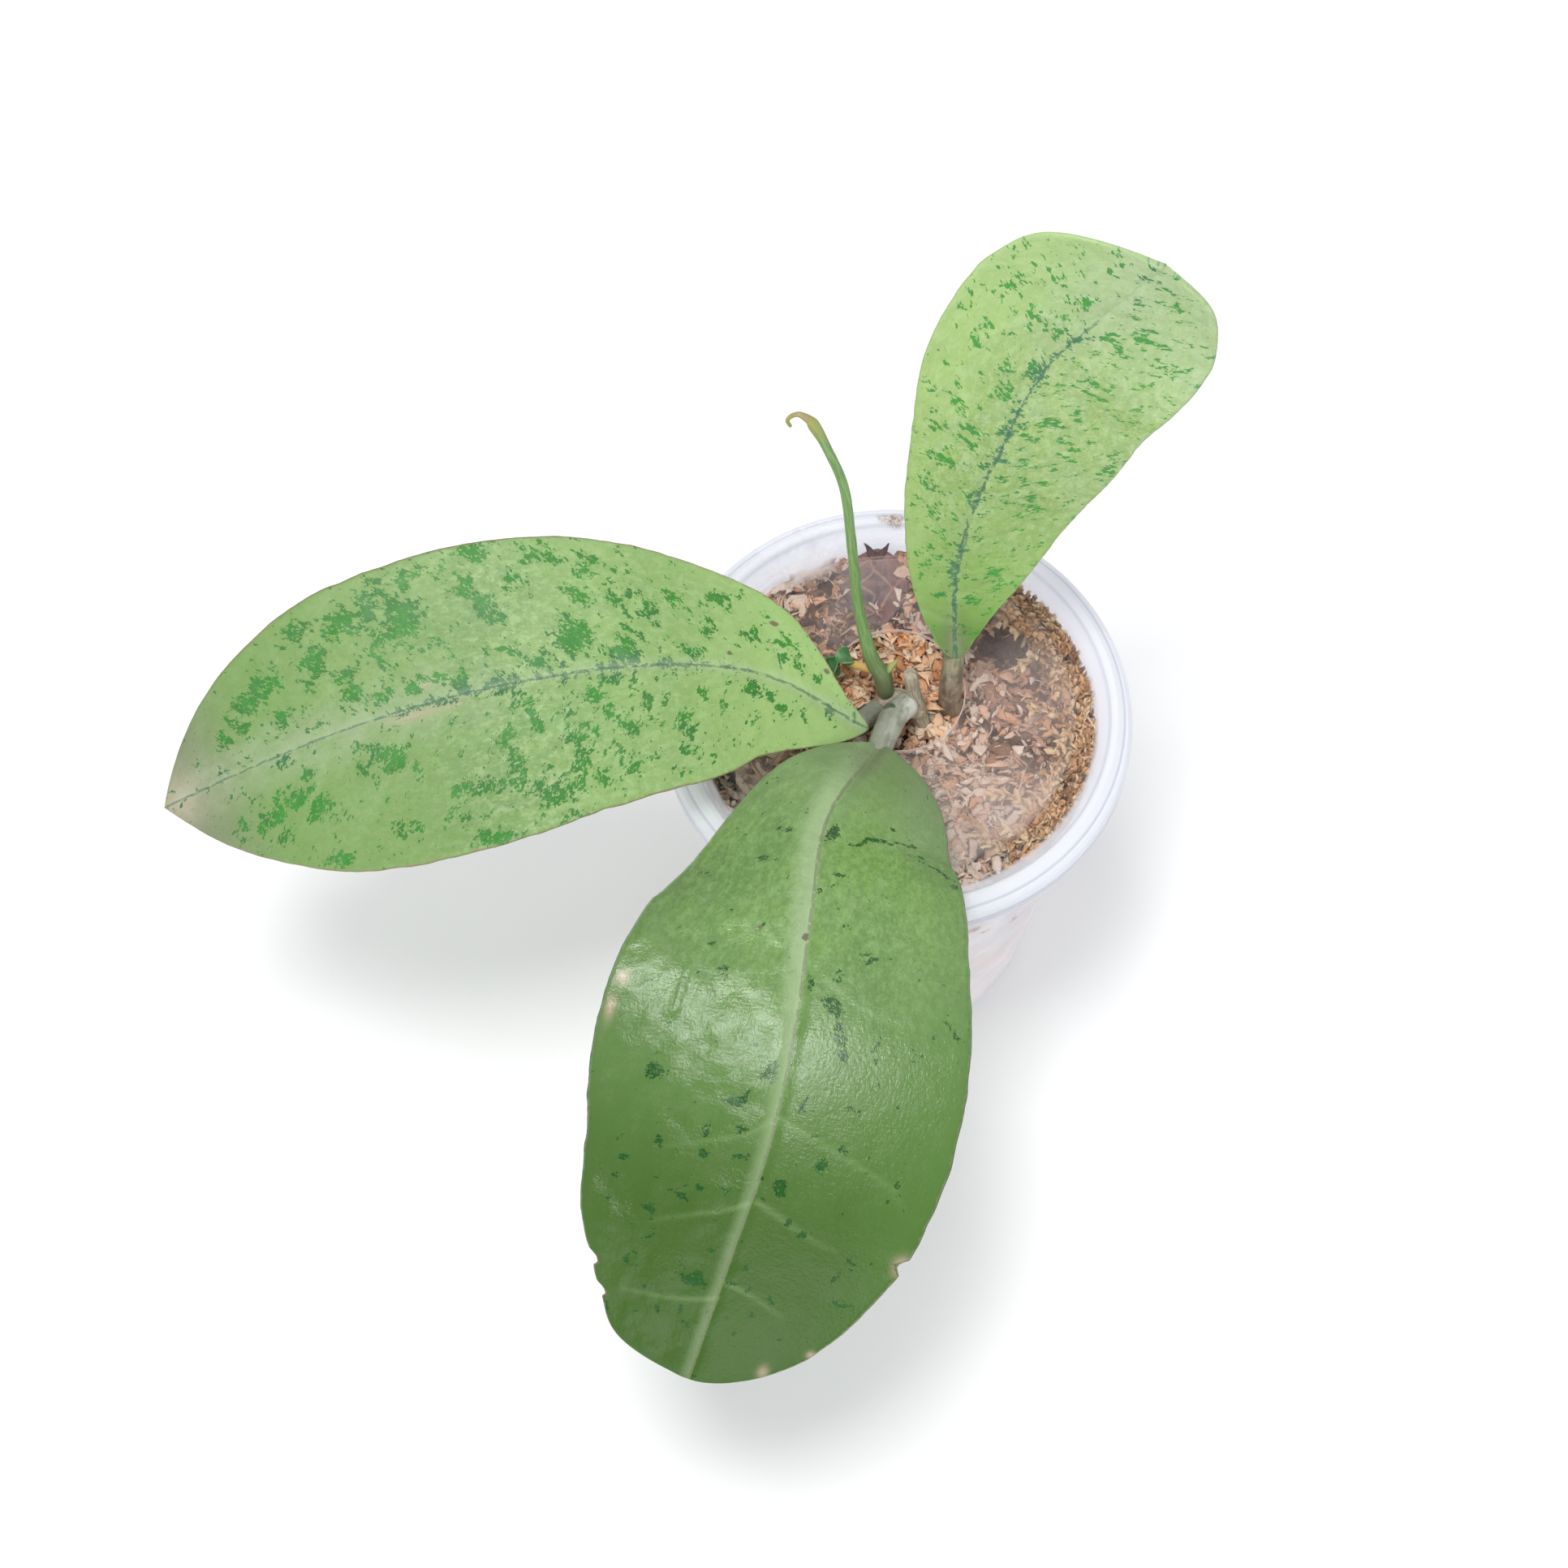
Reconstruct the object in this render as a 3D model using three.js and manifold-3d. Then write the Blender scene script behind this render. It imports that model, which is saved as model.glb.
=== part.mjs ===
// A potted hoya cutting: three thick leaves on an old stem, a thin new shoot and a curled young leaf,
// rooted in husk chips in a clear plastic cup whose lid has a round hole for the plant.
// Millimetres, +Z up, origin at the centre of the cup's base. The viewer of the front looks along +Y.
import * as THREE from 'three';
import { mergeVertices } from 'three/addons/utils/BufferGeometryUtils.js';
import Module from 'manifold-3d';

const wasm = await Module();
wasm.setup();

// ---------- driving dimensions ----------
const GAP = 0.35; // clearance between neighbouring pieces
const SEAT_GAP = 0.5; // clearance round a stem in its hole or seat, where both are faceted
const SIDES = 36; // facets round the cup, the lid and the medium
const WELD = 1e-4; // vertices nearer than this are one

const CUP = { baseRadius: 34, taper: 0.1, wall: 0.8, wallTop: 90, rimTop: 94.8, lipRadius: 46.8 };
// The rolled lip's outline from its outer root round to its inner root: how far inside the lip's radius and
// how far under its top.
const LIP = [[2.2, 1.2], [1.5, 1], [0.8, 2], [0.8, 3.6], [0, 3.6], [0, 1.8], [0.6, 0.7], [1.6, 0], [2.6, 0.5]];
// The base stands on a middle boss and an outer ring; between them it is raised.
const FOOT = { boss: 10, ringInner: 28, ringOuter: 33, rise: 1, slope: 0.8, floor: 1 };
const DRAIN = { holes: 6, radius: 2, circle: 19, sides: 12, cut: 6 };

const LID = {
  top: 95.2, sheet: 0.8, panelRadius: 36.4, channelFloor: 92.8, skirtRadius: 48.8, skirtBottom: 89.4,
};
// The lid's bead over the cup's lip, as [radius, height]: its inside from the channel to the skirt's foot, and
// its outside from the skirt back to the channel.
const BEAD_INSIDE = [[41.3, 92], [43.9, 94.6], [45.2, 95.2], [46.6, 94.3], [47.2, 93.1], [47.2, 91], [46.7, 90.6],
  [46.7, 90.2], [48, 89.4]];
const BEAD_OUTSIDE = [[48.2, 93], [48, 94.2], [47, 95.4], [45.4, 96.1], [43.8, 95.6], [41, 92.8]];
const SKIRT_GROOVES = { count: 2, first: 90.1, pitch: 1.2, width: 0.8, depth: 0.5 };
const LID_HOLE = { x: -0.4, y: 4.4, radius: 14.1, cut: 8 };

const MEDIUM = { bottom: 2.35, fill: 86.6, ceiling: 91.6, slope: 0.035, rings: 7, relief: 0.9, inset: 0.4 };
const CHIPS = {
  count: 60, length: [6, 9.5], width: [2.6, 4], height: [1.6, 2.4], tilt: 0.9, raise: 0.35, seed: 11,
};

// A leaf: `rib` holds points of the midrib from foot to tip, `face` the way its upper side looks, `half` the
// half-widths that the sine outline is scaled by (left side, right side, seen from foot to tip), `cup` how far
// the sides lift and `wave` the edge waves as height, number and phase.
const LEFT = {
  rib: [[-6, -6.5, 97.5], [-28, -0.5, 107.5], [-52, -4, 115], [-76.5, -10, 116.5], [-101, -17, 113.5],
    [-124, -25, 107.5], [-146.5, -33.5, 99]],
  face: [[0, -0.15, 1], [0, -0.2, 1], [0, -0.2, 1]],
  half: [[5.5, 19.5, 26.5, 29.5, 34, 33.5, 23.5, 0], [6, 8.5, 22, 28.5, 30.5, 31.5, 24.5, 3.5]],
  cup: [0.08, 0.06],
  wave: [[1.2, 2, 0.1], [1.2, 1.5, 0.3]],
  petiole: [[-3.6, 1.4, 92.6], [-5.6, -1, 93.6], [-7.4, -3.6, 95.4], [-9.6, -4.8, 98]],
  petioleRadius: [2.2, 2.2, 2, 1.8],
};
const FRONT = {
  rib: [[-3.5, -11, 100], [-13.5, -31.5, 106.5], [-16, -55, 110.5], [-18, -78.5, 110], [-22, -101, 102.5],
    [-28.5, -120.5, 90.5], [-35, -138.5, 76]],
  face: [[0, 0, 1], [0, 0, 1], [0, 0, 1]],
  half: [[51, 44.5, 35, 33, 35.5, 36.5, 36, 29.5], [3.5, 21, 25, 35.5, 39, 41.5, 47.5, 88.5]],
  cup: [-0.12, -0.08],
  wave: [[1.2, 1.5, 0.5], [2.6, 2, 0.41]],
  petiole: [[1.6, 0.3, 96.2], [-0.6, -2.6, 97.2], [-1.9, -6.4, 98.4], [-3.2, -10.2, 99]],
  petioleRadius: [2.7, 2.8, 2.8, 2.5],
};
const BACK = {
  rib: [[11, 6.5, 106], [9.5, 13, 125], [11.5, 18.5, 144], [16, 22, 163.5], [21.5, 26, 182], [31, 28, 199.5],
    [44.5, 26.5, 214]],
  face: [[0, -1, 0.45], [0, -1, 0.45], [0, -1, 0.6]],
  half: [[20, 9, 12, 15.5, 21.5, 30.5, 21, 0], [26, 9, 16.5, 21, 24, 32, 42, 62]],
  cup: [0.06, 0.04],
  wave: [[1, 1.5, 0.2], [1.6, 2, 0]],
  petiole: [[11.3, 4.4, 88.6], [10.9, 4.9, 93], [10.7, 5.9, 100], [10.9, 7, 106]],
  petioleRadius: [2.1, 1.9, 1.85, 1.8],
};
const BLADE = { rows: 22, columns: 6, edge: 0.8, middle: 1.3 };
const RIB = { sides: 8, radius: 1.7, tipRadius: 0.5, sunk: 0.35 };

const STEM = {
  main: [[6.6, -1.6, 50], [6.3, -1, 70], [5.9, -0.1, 85], [4.6, 1.1, 91], [3.3, 1.9, 97], [1.9, 2.5, 105.4]],
  mainRadius: [1.9, 1.9, 1.7, 1.8, 1.6, 1.45],
  knuckle: [[4.4, 1.3, 92.6], [1, 2, 93.8], [-2.6, 2.6, 95]],
  knuckleRadius: [2.1, 2.7, 2.4],
  side: [[5.4, 0.6, 87.2], [8.6, 3, 87.6], [11.6, 4.6, 88]],
  sideRadius: [1.5, 1.6, 1.9],
};
const ROOTS = {
  count: 3, x: 6.3, y: -1.1, top: 72, step: 4, length: 30, spread: 11, turn: 0.6, radius: [1.1, 0.5],
};

const SHOOT = {
  path: [[-2.6, 2.7, 96.4], [-3, 3, 98.6], [-3.7, 4.2, 101.6], [-5.1, 5.5, 104.7], [-7.1, 8, 111.9],
    [-8.9, 10.2, 121.1], [-11.5, 13.8, 140.1], [-14.1, 16.7, 153.4], [-18, 18.7, 164.4], [-20.4, 19.7, 169.6],
    [-21.4, 19.8, 171.6], [-23.4, 20, 173], [-24.9, 20.2, 172], [-25.6, 20.4, 170], [-25, 20.2, 168.6]],
  radius: [1.7, 2.2, 2.3, 1.9, 1.3, 1, 0.95, 0.95, 0.95, 1.2, 0.9, 0.55, 0.45, 0.4, 0.35],
  bract: [[-3.4, 4.4, 101.6], [-2.4, 5, 103.4], [-1.6, 5.4, 105]],
  bractRadius: [1.1, 0.8, 0.35],
};
const YOUNG = {
  stalk: [[-6, 5.75, 100.8], [-8.4, 6.8, 100], [-10.8, 7.7, 99.2]],
  radius: [0.9, 0.9, 0.8],
  curl: { x: -12.2, y: 8.1, z: 98.6, outer: 2.5, inner: 1.7, length: 4.2, from: -0.4, to: 4.55, lean: 0.5 },
};
const DRY = {
  rib: [[-4, 23, 88.4], [-4.6, 29, 89], [-4.6, 35, 89.9], [-5.4, 40.4, 90.7]],
  face: [[0, -0.1, 1], [0, -0.2, 1]],
  half: [[2, 6, 6.5, 5], [2, 5.5, 6.5, 5]],
  cup: [0.12, 0.1],
  wave: [[0.4, 2, 0.2], [0.4, 2, 0.6]],
  thick: 0.8,
  teeth: { count: 4, depth: 0.35 },
  room: { gap: 0.6, spare: 1.5 },
};

// ---------- small tools ----------
const vector = (p) => new THREE.Vector3(...p);

// A smooth curve through a list of points; t runs from 0 to 1.
function curveThrough(points) {
  return new THREE.CatmullRomCurve3(points.map(vector), false, 'catmullrom', 0.5);
}

// A smooth value through a list of numbers; t runs from 0 to 1.
function valueThrough(values) {
  const line = curveThrough(values.map((v) => [v, 0, 0]));
  return (t) => line.getPoint(t).x;
}

// Numbers between 0 and 1 that come out the same each time.
function seededRandom(seed) {
  let state = seed;
  return () => {
    state = (state * 16807) % 2147483647;
    return state / 2147483647;
  };
}

function geometryOf(points, triangles) {
  const geometry = new THREE.BufferGeometry();
  geometry.setAttribute('position', new THREE.Float32BufferAttribute(points.flatMap((p) => [p.x, p.y, p.z]), 3));
  geometry.setIndex(triangles.flat());
  return geometry;
}

function toSolid(geometry) {
  const bare = geometry.clone();
  bare.deleteAttribute('normal');
  bare.deleteAttribute('uv');
  const merged = mergeVertices(bare, WELD);
  return new wasm.Manifold(new wasm.Mesh({
    numProp: 3,
    vertProperties: merged.attributes.position.array,
    triVerts: new Uint32Array(merged.index.array),
  }));
}

// The largest body of a solid, so that no cut leaves a loose scrap.
function wholeOf(solid) {
  return solid.decompose().reduce((a, b) => (b.volume() > a.volume() ? b : a));
}

function toGeometry(solid) {
  const { vertProperties, triVerts, numProp } = solid.getMesh();
  const places = [];
  for (let i = 0; i < vertProperties.length; i += numProp) {
    places.push(vertProperties[i], vertProperties[i + 1], vertProperties[i + 2]);
  }
  const geometry = new THREE.BufferGeometry();
  geometry.setAttribute('position', new THREE.Float32BufferAttribute(places, 3));
  geometry.setIndex(Array.from(triVerts));
  geometry.computeVertexNormals();
  return geometry;
}

function joined(solids) {
  return solids.reduce((a, b) => a.add(b));
}

// A round bar of changing radius along a smooth path, closed at both ends. With `extra` it is that much thicker
// and longer all round, which makes the room that a neighbour leaves for it.
function taperedBar(path, radii, sides, steps, extra = 0) {
  const curve = curveThrough(path);
  const radius = valueThrough(radii);
  const points = [];
  const triangles = [];
  let across = new THREE.Vector3(1, 0, 0);
  for (let i = 0; i <= steps; i += 1) {
    const t = i / steps;
    const along = curve.getTangent(t);
    across = across.sub(along.clone().multiplyScalar(across.dot(along))).normalize();
    const other = along.clone().cross(across);
    const end = Number(i === steps) - Number(i === 0);
    const middle = curve.getPoint(t).addScaledVector(along, end * extra);
    for (let k = 0; k < sides; k += 1) {
      const angle = (k / sides) * Math.PI * 2;
      points.push(middle.clone()
        .addScaledVector(across, Math.cos(angle) * (radius(t) + extra))
        .addScaledVector(other, Math.sin(angle) * (radius(t) + extra)));
    }
  }
  for (let i = 0; i < steps; i += 1) {
    for (let k = 0; k < sides; k += 1) {
      const a = i * sides + k;
      const b = i * sides + ((k + 1) % sides);
      triangles.push([a, b, b + sides], [a, b + sides, a + sides]);
    }
  }
  const last = steps * sides;
  for (let k = 1; k < sides - 1; k += 1) {
    triangles.push([0, k + 1, k], [last, last + k, last + k + 1]);
  }
  return toSolid(geometryOf(points, triangles));
}

// A profile of [radius, height] turned round the Z axis.
function turned(profile) {
  const lathe = new THREE.LatheGeometry(profile.map(([r, z]) => new THREE.Vector2(r, z)), SIDES);
  return toSolid(lathe.rotateX(Math.PI / 2));
}

// ---------- cup and lid ----------
const wallRadius = (z) => CUP.baseRadius + CUP.taper * z;
const innerRadius = (z) => wallRadius(z) - CUP.wall;

function makeCup() {
  const { boss, ringInner, ringOuter, rise, slope, floor } = FOOT;
  const half = slope / 2;
  const shell = turned([
    [0, 0], [boss, 0], [boss + slope, rise], [ringInner - slope, rise], [ringInner, 0], [ringOuter, 0],
    [wallRadius(rise), rise], [wallRadius(CUP.wallTop), CUP.wallTop],
    [wallRadius(CUP.wallTop) + GAP, CUP.rimTop - LIP[3][1] + CUP.wall],
    ...LIP.map(([inside, under]) => [CUP.lipRadius - inside, CUP.rimTop - under]),
    [innerRadius(CUP.wallTop) + GAP, CUP.rimTop - LIP[3][1] + 1], [innerRadius(CUP.wallTop), CUP.wallTop],
    [innerRadius(rise + floor), rise + floor], [ringOuter - slope, floor], [ringInner + half, floor],
    [ringInner - half, rise + floor], [boss + half, rise + floor], [boss - half, floor], [0, floor],
  ]);
  const drain = new THREE.CylinderGeometry(DRAIN.radius, DRAIN.radius, DRAIN.cut, DRAIN.sides);
  drain.rotateX(Math.PI / 2);
  const holes = Array.from({ length: DRAIN.holes }, (_, i) => {
    const angle = (i / DRAIN.holes) * Math.PI * 2;
    return toSolid(drain.clone().translate(DRAIN.circle * Math.cos(angle), DRAIN.circle * Math.sin(angle), rise));
  });
  return shell.subtract(joined(holes));
}

function makeLid() {
  const { top, sheet, panelRadius, channelFloor, skirtRadius, skirtBottom } = LID;
  const { count, first, pitch, width, depth } = SKIRT_GROOVES;
  const grooves = Array.from({ length: count }, (_, i) => [
    [skirtRadius, first + pitch * i],
    [skirtRadius - depth, first + pitch * i + width / 2],
    [skirtRadius, first + pitch * i + width],
  ]).flat();
  const lid = turned([
    [0, top - sheet], [panelRadius - sheet / 2, top - sheet], [panelRadius + sheet, channelFloor - sheet],
    ...BEAD_INSIDE,
    [skirtRadius, skirtBottom], ...grooves, [skirtRadius, first + pitch * count],
    ...BEAD_OUTSIDE,
    [panelRadius + sheet * 1.5, channelFloor], [panelRadius, top], [0, top],
  ]);
  const hole = new THREE.CylinderGeometry(LID_HOLE.radius, LID_HOLE.radius, LID_HOLE.cut, SIDES);
  return lid.subtract(toSolid(hole.rotateX(Math.PI / 2).translate(LID_HOLE.x, LID_HOLE.y, top)));
}

// ---------- leaves ----------
// The place of a blade's point: u runs from foot to tip, v from -1 (right edge) to 1 (left edge).
function bladeSurface(leaf) {
  const rib = curveThrough(leaf.rib);
  const face = curveThrough(leaf.face);
  const half = leaf.half.map(valueThrough);
  return (u, v) => {
    const s = (1 - Math.cos(Math.PI * u)) / 2;
    const side = v > 0 ? 0 : 1;
    const along = rib.getTangent(s);
    const left = face.getPoint(s).cross(along).normalize();
    const up = along.clone().cross(left);
    const round = Math.sin(Math.PI * u);
    const teeth = leaf.teeth ? 1 - leaf.teeth.depth * ((u * leaf.teeth.count) % 1) : 1;
    const width = half[side](u) * round * teeth;
    const [height, number, phase] = leaf.wave[side];
    const lift = leaf.cup[side] * width + height * Math.sin(2 * Math.PI * (number * s + phase)) * round;
    return {
      point: rib.getPoint(s).addScaledVector(left, v * width).addScaledVector(up, lift * v * v),
      up,
      along,
    };
  };
}

// A closed blade: the same net of triangles on its upper and lower face, joined along the edge.
function makeBlade(leaf, rows, columns, edge, middle, extra = 0) {
  const surface = bladeSurface(leaf);
  const points = [];
  const place = (u, v, sign) => {
    const { point, up, along } = surface(u, v);
    const pole = Number(u === 1) - Number(u === 0);
    point.addScaledVector(along, 2 * extra * pole);
    points.push(point.addScaledVector(up, sign * ((edge + (middle - edge) * (1 - v * v)) / 2 + extra)));
    return points.length - 1;
  };
  const sheets = [1, -1].map((sign) => {
    const lines = [Array(columns + 1).fill(place(0, 0, sign))];
    for (let i = 1; i < rows; i += 1) {
      lines.push(Array.from({ length: columns + 1 }, (_, j) => place(i / rows, 1 - (2 * j) / columns, sign)));
    }
    lines.push(Array(columns + 1).fill(place(1, 0, sign)));
    return lines;
  });
  const triangles = [];
  const quad = (a, b, c, d) => triangles.push([a, b, c], [a, c, d]);
  const [top, bottom] = sheets;
  for (let i = 0; i < rows; i += 1) {
    for (let j = 0; j < columns; j += 1) {
      quad(top[i][j], top[i][j + 1], top[i + 1][j + 1], top[i + 1][j]);
      triangles.push([bottom[i][j], bottom[i + 1][j + 1], bottom[i][j + 1]]);
      triangles.push([bottom[i][j], bottom[i + 1][j], bottom[i + 1][j + 1]]);
    }
    quad(top[i][0], top[i + 1][0], bottom[i + 1][0], bottom[i][0]);
    quad(top[i + 1][columns], top[i][columns], bottom[i][columns], bottom[i + 1][columns]);
  }
  const flat = triangles.filter(([a, b, c]) => a !== b && b !== c && c !== a);
  return toSolid(geometryOf(points, flat));
}

// The petiole runs on under the blade as a raised rib that thins out towards the tip.
function petiolePath(leaf) {
  const surface = bladeSurface(leaf);
  const ribPoints = [0.3, 0.45, 0.6, 0.75].map((u) => {
    const { point, up } = surface(u, 0);
    return point.addScaledVector(up, -(BLADE.middle / 2 + RIB.sunk)).toArray();
  });
  return {
    path: [...leaf.petiole, ...ribPoints],
    radii: [...leaf.petioleRadius, RIB.radius, RIB.radius * 0.75, RIB.radius * 0.5, RIB.tipRadius],
  };
}

function makeLeaf(leaf) {
  const { path, radii } = petiolePath(leaf);
  const blade = makeBlade(leaf, BLADE.rows, BLADE.columns, BLADE.edge, BLADE.middle);
  return blade.add(taperedBar(path, radii, RIB.sides, 18));
}

// The petiole alone, a gap thicker, to cut its seat in the stem and its hole in the medium.
function petioleRoom(leaf) {
  return taperedBar(leaf.petiole, leaf.petioleRadius, 10, 6, SEAT_GAP);
}

// ---------- stem, shoot and young leaf ----------
function rootPath(i) {
  const { count, x, y, top, step, length, spread, turn } = ROOTS;
  const angle = (i / count) * Math.PI * 2 + turn;
  const dx = Math.cos(angle) * spread;
  const dy = Math.sin(angle) * spread;
  const start = top - step * i;
  return [[x, y, start], [x + dx / 2, y + dy / 2, start - length / 4], [x + dx, y + dy, start - length]];
}

function stemSolid(extra) {
  const roots = Array.from({ length: ROOTS.count }, (_, i) => taperedBar(rootPath(i), ROOTS.radius, 5, 4, extra));
  return joined([
    taperedBar(STEM.main, STEM.mainRadius, 8, 14, extra),
    taperedBar(STEM.knuckle, STEM.knuckleRadius, 8, 5, extra),
    taperedBar(STEM.side, STEM.sideRadius, 7, 4, extra),
    ...roots,
  ]);
}

function makeStem(seats) {
  return wholeOf(stemSolid(0).subtract(joined(seats)));
}

function makeShoot() {
  const stalk = taperedBar(SHOOT.path, SHOOT.radius, 7, 40);
  return stalk.add(taperedBar(SHOOT.bract, SHOOT.bractRadius, 6, 3));
}

function makeYoungLeaf() {
  const { x, y, z, outer, inner, length, from, to, lean } = YOUNG.curl;
  const curl = new THREE.Shape();
  curl.absarc(0, 0, outer, from, to, false);
  curl.absarc(0, 0, inner, to, from, true);
  const roll = new THREE.ExtrudeGeometry(curl, { depth: length, bevelEnabled: false, curveSegments: 12 });
  roll.translate(0, 0, -length / 2).rotateX(Math.PI / 2).rotateZ(lean).translate(x, y, z);
  return toSolid(roll).add(taperedBar(YOUNG.stalk, YOUNG.radius, 6, 4));
}

const makeDryLeaf = () => makeBlade(DRY, 16, 4, DRY.thick, DRY.thick);

// The room that the medium leaves for the dry leaf: a plain wider blade without its teeth.
function dryLeafRoom() {
  const half = DRY.half.map((side) => side.map((width) => width + DRY.room.spare));
  return makeBlade({ ...DRY, half, teeth: null }, 16, 4, DRY.thick, DRY.thick, DRY.room.gap);
}

// ---------- growing medium ----------
// Height of the medium's surface: a slow slope up to the right and a lumpy relief.
function mediumHeight(x, y) {
  const lumps = Math.sin(0.45 * x + 1.3) * Math.cos(0.38 * y) + 0.6 * Math.sin(0.9 * x - 0.7 * y);
  return MEDIUM.fill + MEDIUM.slope * (x + 0.4 * y) + MEDIUM.relief * lumps;
}

function mediumBody() {
  const points = [new THREE.Vector3(0, 0, mediumHeight(0, 0))];
  const triangles = [];
  const ring = (r, height) => {
    const first = points.length;
    for (let k = 0; k < SIDES; k += 1) {
      const angle = (k / SIDES) * Math.PI * 2;
      const x = r * Math.sin(angle);
      const y = -r * Math.cos(angle);
      points.push(new THREE.Vector3(x, y, height(x, y)));
    }
    return first;
  };
  const bridge = (inner, outer) => {
    for (let k = 0; k < SIDES; k += 1) {
      const next = (k + 1) % SIDES;
      triangles.push([inner + k, outer + k, outer + next], [inner + k, outer + next, inner + next]);
    }
  };
  const rimRadius = innerRadius(MEDIUM.fill) - GAP - MEDIUM.inset;
  let last = ring(rimRadius / MEDIUM.rings, mediumHeight);
  for (let k = 0; k < SIDES; k += 1) triangles.push([0, last + k, last + ((k + 1) % SIDES)]);
  for (let i = 2; i <= MEDIUM.rings; i += 1) {
    const next = ring((rimRadius * i) / MEDIUM.rings, mediumHeight);
    bridge(last, next);
    last = next;
  }
  const foot = ring(innerRadius(MEDIUM.bottom) - GAP, () => MEDIUM.bottom);
  bridge(last, foot);
  points.push(new THREE.Vector3(0, 0, MEDIUM.bottom));
  const centre = points.length - 1;
  for (let k = 0; k < SIDES; k += 1) triangles.push([centre, foot + ((k + 1) % SIDES), foot + k]);
  return toSolid(geometryOf(points, triangles));
}

// Husk chips, half sunk in the surface at seeded places and turns.
function chipSolids() {
  const random = seededRandom(CHIPS.seed);
  const between = ([low, high]) => low + (high - low) * random();
  return Array.from({ length: CHIPS.count }, () => {
    const reach = (innerRadius(MEDIUM.fill) - CHIPS.width[1]) * Math.sqrt(random());
    const angle = random() * Math.PI * 2;
    const x = reach * Math.cos(angle);
    const y = reach * Math.sin(angle);
    const chip = new THREE.BoxGeometry(between(CHIPS.length), between(CHIPS.width), between(CHIPS.height));
    chip.rotateX((random() - 0.5) * CHIPS.tilt);
    chip.rotateY((random() - 0.5) * CHIPS.tilt);
    chip.rotateZ(random() * Math.PI);
    return toSolid(chip.translate(x, y, mediumHeight(x, y) + CHIPS.raise));
  });
}

function makeMedium(rooms) {
  const envelope = turned([
    [0, MEDIUM.bottom], [innerRadius(MEDIUM.bottom) - GAP, MEDIUM.bottom],
    [innerRadius(CUP.wallTop) - GAP, CUP.wallTop],
    [innerRadius(CUP.wallTop) - GAP - MEDIUM.inset, MEDIUM.ceiling], [0, MEDIUM.ceiling],
  ]);
  const filled = joined([mediumBody(), ...chipSolids()]).intersect(envelope);
  return wholeOf(filled.subtract(joined(rooms)));
}

// ---------- the whole plant ----------
const finish = {
  clear: { color: 0xdfe3ea, roughness: 0.18, metalness: 0, transparent: true, opacity: 0.45 },
  husk: { color: 0xa8784c, roughness: 0.95, metalness: 0 },
  dead: { color: 0x6b4a44, roughness: 0.9, metalness: 0 },
  bark: { color: 0xa9a392, roughness: 0.7, metalness: 0 },
  paleLeaf: { color: 0x8fb35f, roughness: 0.5, metalness: 0 },
  darkLeaf: { color: 0x5d8a45, roughness: 0.35, metalness: 0 },
  shoot: { color: 0x5f8f3a, roughness: 0.45, metalness: 0 },
  young: { color: 0x2f6a35, roughness: 0.4, metalness: 0 },
};

const plant = new THREE.Group();

function addPiece(name, solid, look) {
  const mesh = new THREE.Mesh(toGeometry(solid), new THREE.MeshStandardMaterial(look));
  mesh.name = name;
  plant.add(mesh);
}

const petioleRooms = [LEFT, FRONT, BACK].map(petioleRoom);
const shootFoot = taperedBar(SHOOT.path.slice(0, 4), SHOOT.radius.slice(0, 4), 10, 6, GAP);

addPiece('cup', makeCup(), finish.clear);
addPiece('lid', makeLid(), finish.clear);
addPiece('growing_medium', makeMedium([stemSolid(SEAT_GAP), dryLeafRoom(), ...petioleRooms]), finish.husk);
addPiece('dry_leaf', makeDryLeaf(), finish.dead);
addPiece('stem', makeStem([...petioleRooms, shootFoot]), finish.bark);
addPiece('leaf_left', makeLeaf(LEFT), finish.paleLeaf);
addPiece('leaf_front', makeLeaf(FRONT), finish.darkLeaf);
addPiece('leaf_back', makeLeaf(BACK), finish.paleLeaf);
addPiece('new_shoot', makeShoot(), finish.shoot);
addPiece('young_leaf', makeYoungLeaf(), finish.young);

export default plant;
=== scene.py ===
import math

import bmesh
import bpy
import numpy as np
from mathutils import Matrix, Vector


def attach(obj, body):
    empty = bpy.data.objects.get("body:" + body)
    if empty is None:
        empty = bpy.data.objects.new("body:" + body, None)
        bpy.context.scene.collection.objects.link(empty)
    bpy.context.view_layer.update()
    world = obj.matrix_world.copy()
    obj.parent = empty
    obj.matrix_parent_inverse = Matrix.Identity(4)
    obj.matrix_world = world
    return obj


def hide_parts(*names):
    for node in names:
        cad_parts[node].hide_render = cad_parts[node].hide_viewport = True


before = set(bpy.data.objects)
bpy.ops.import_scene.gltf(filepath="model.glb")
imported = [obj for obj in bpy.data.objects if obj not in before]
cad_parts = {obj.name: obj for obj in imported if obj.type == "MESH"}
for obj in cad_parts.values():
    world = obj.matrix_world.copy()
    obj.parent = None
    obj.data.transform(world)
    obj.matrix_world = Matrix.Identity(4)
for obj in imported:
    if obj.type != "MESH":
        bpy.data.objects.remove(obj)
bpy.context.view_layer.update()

MM = 0.001

# ---------- driving dimensions: those of the solids, with a few forms closer to the photo ----------
CAMERA = {"fov": 26.0, "elevation": 63.3, "roll": 3.0, "place": (-22.64, -329.78, 713.41)}
CUP = {"base_radius": 34, "taper": 0.1, "wall": 0.8, "wall_top": 90, "rim_top": 94.8, "lip_radius": 46.8}
LID = {"top": 95.2, "sheet": 0.8, "panel": 36.4, "channel": 92.8}

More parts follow.
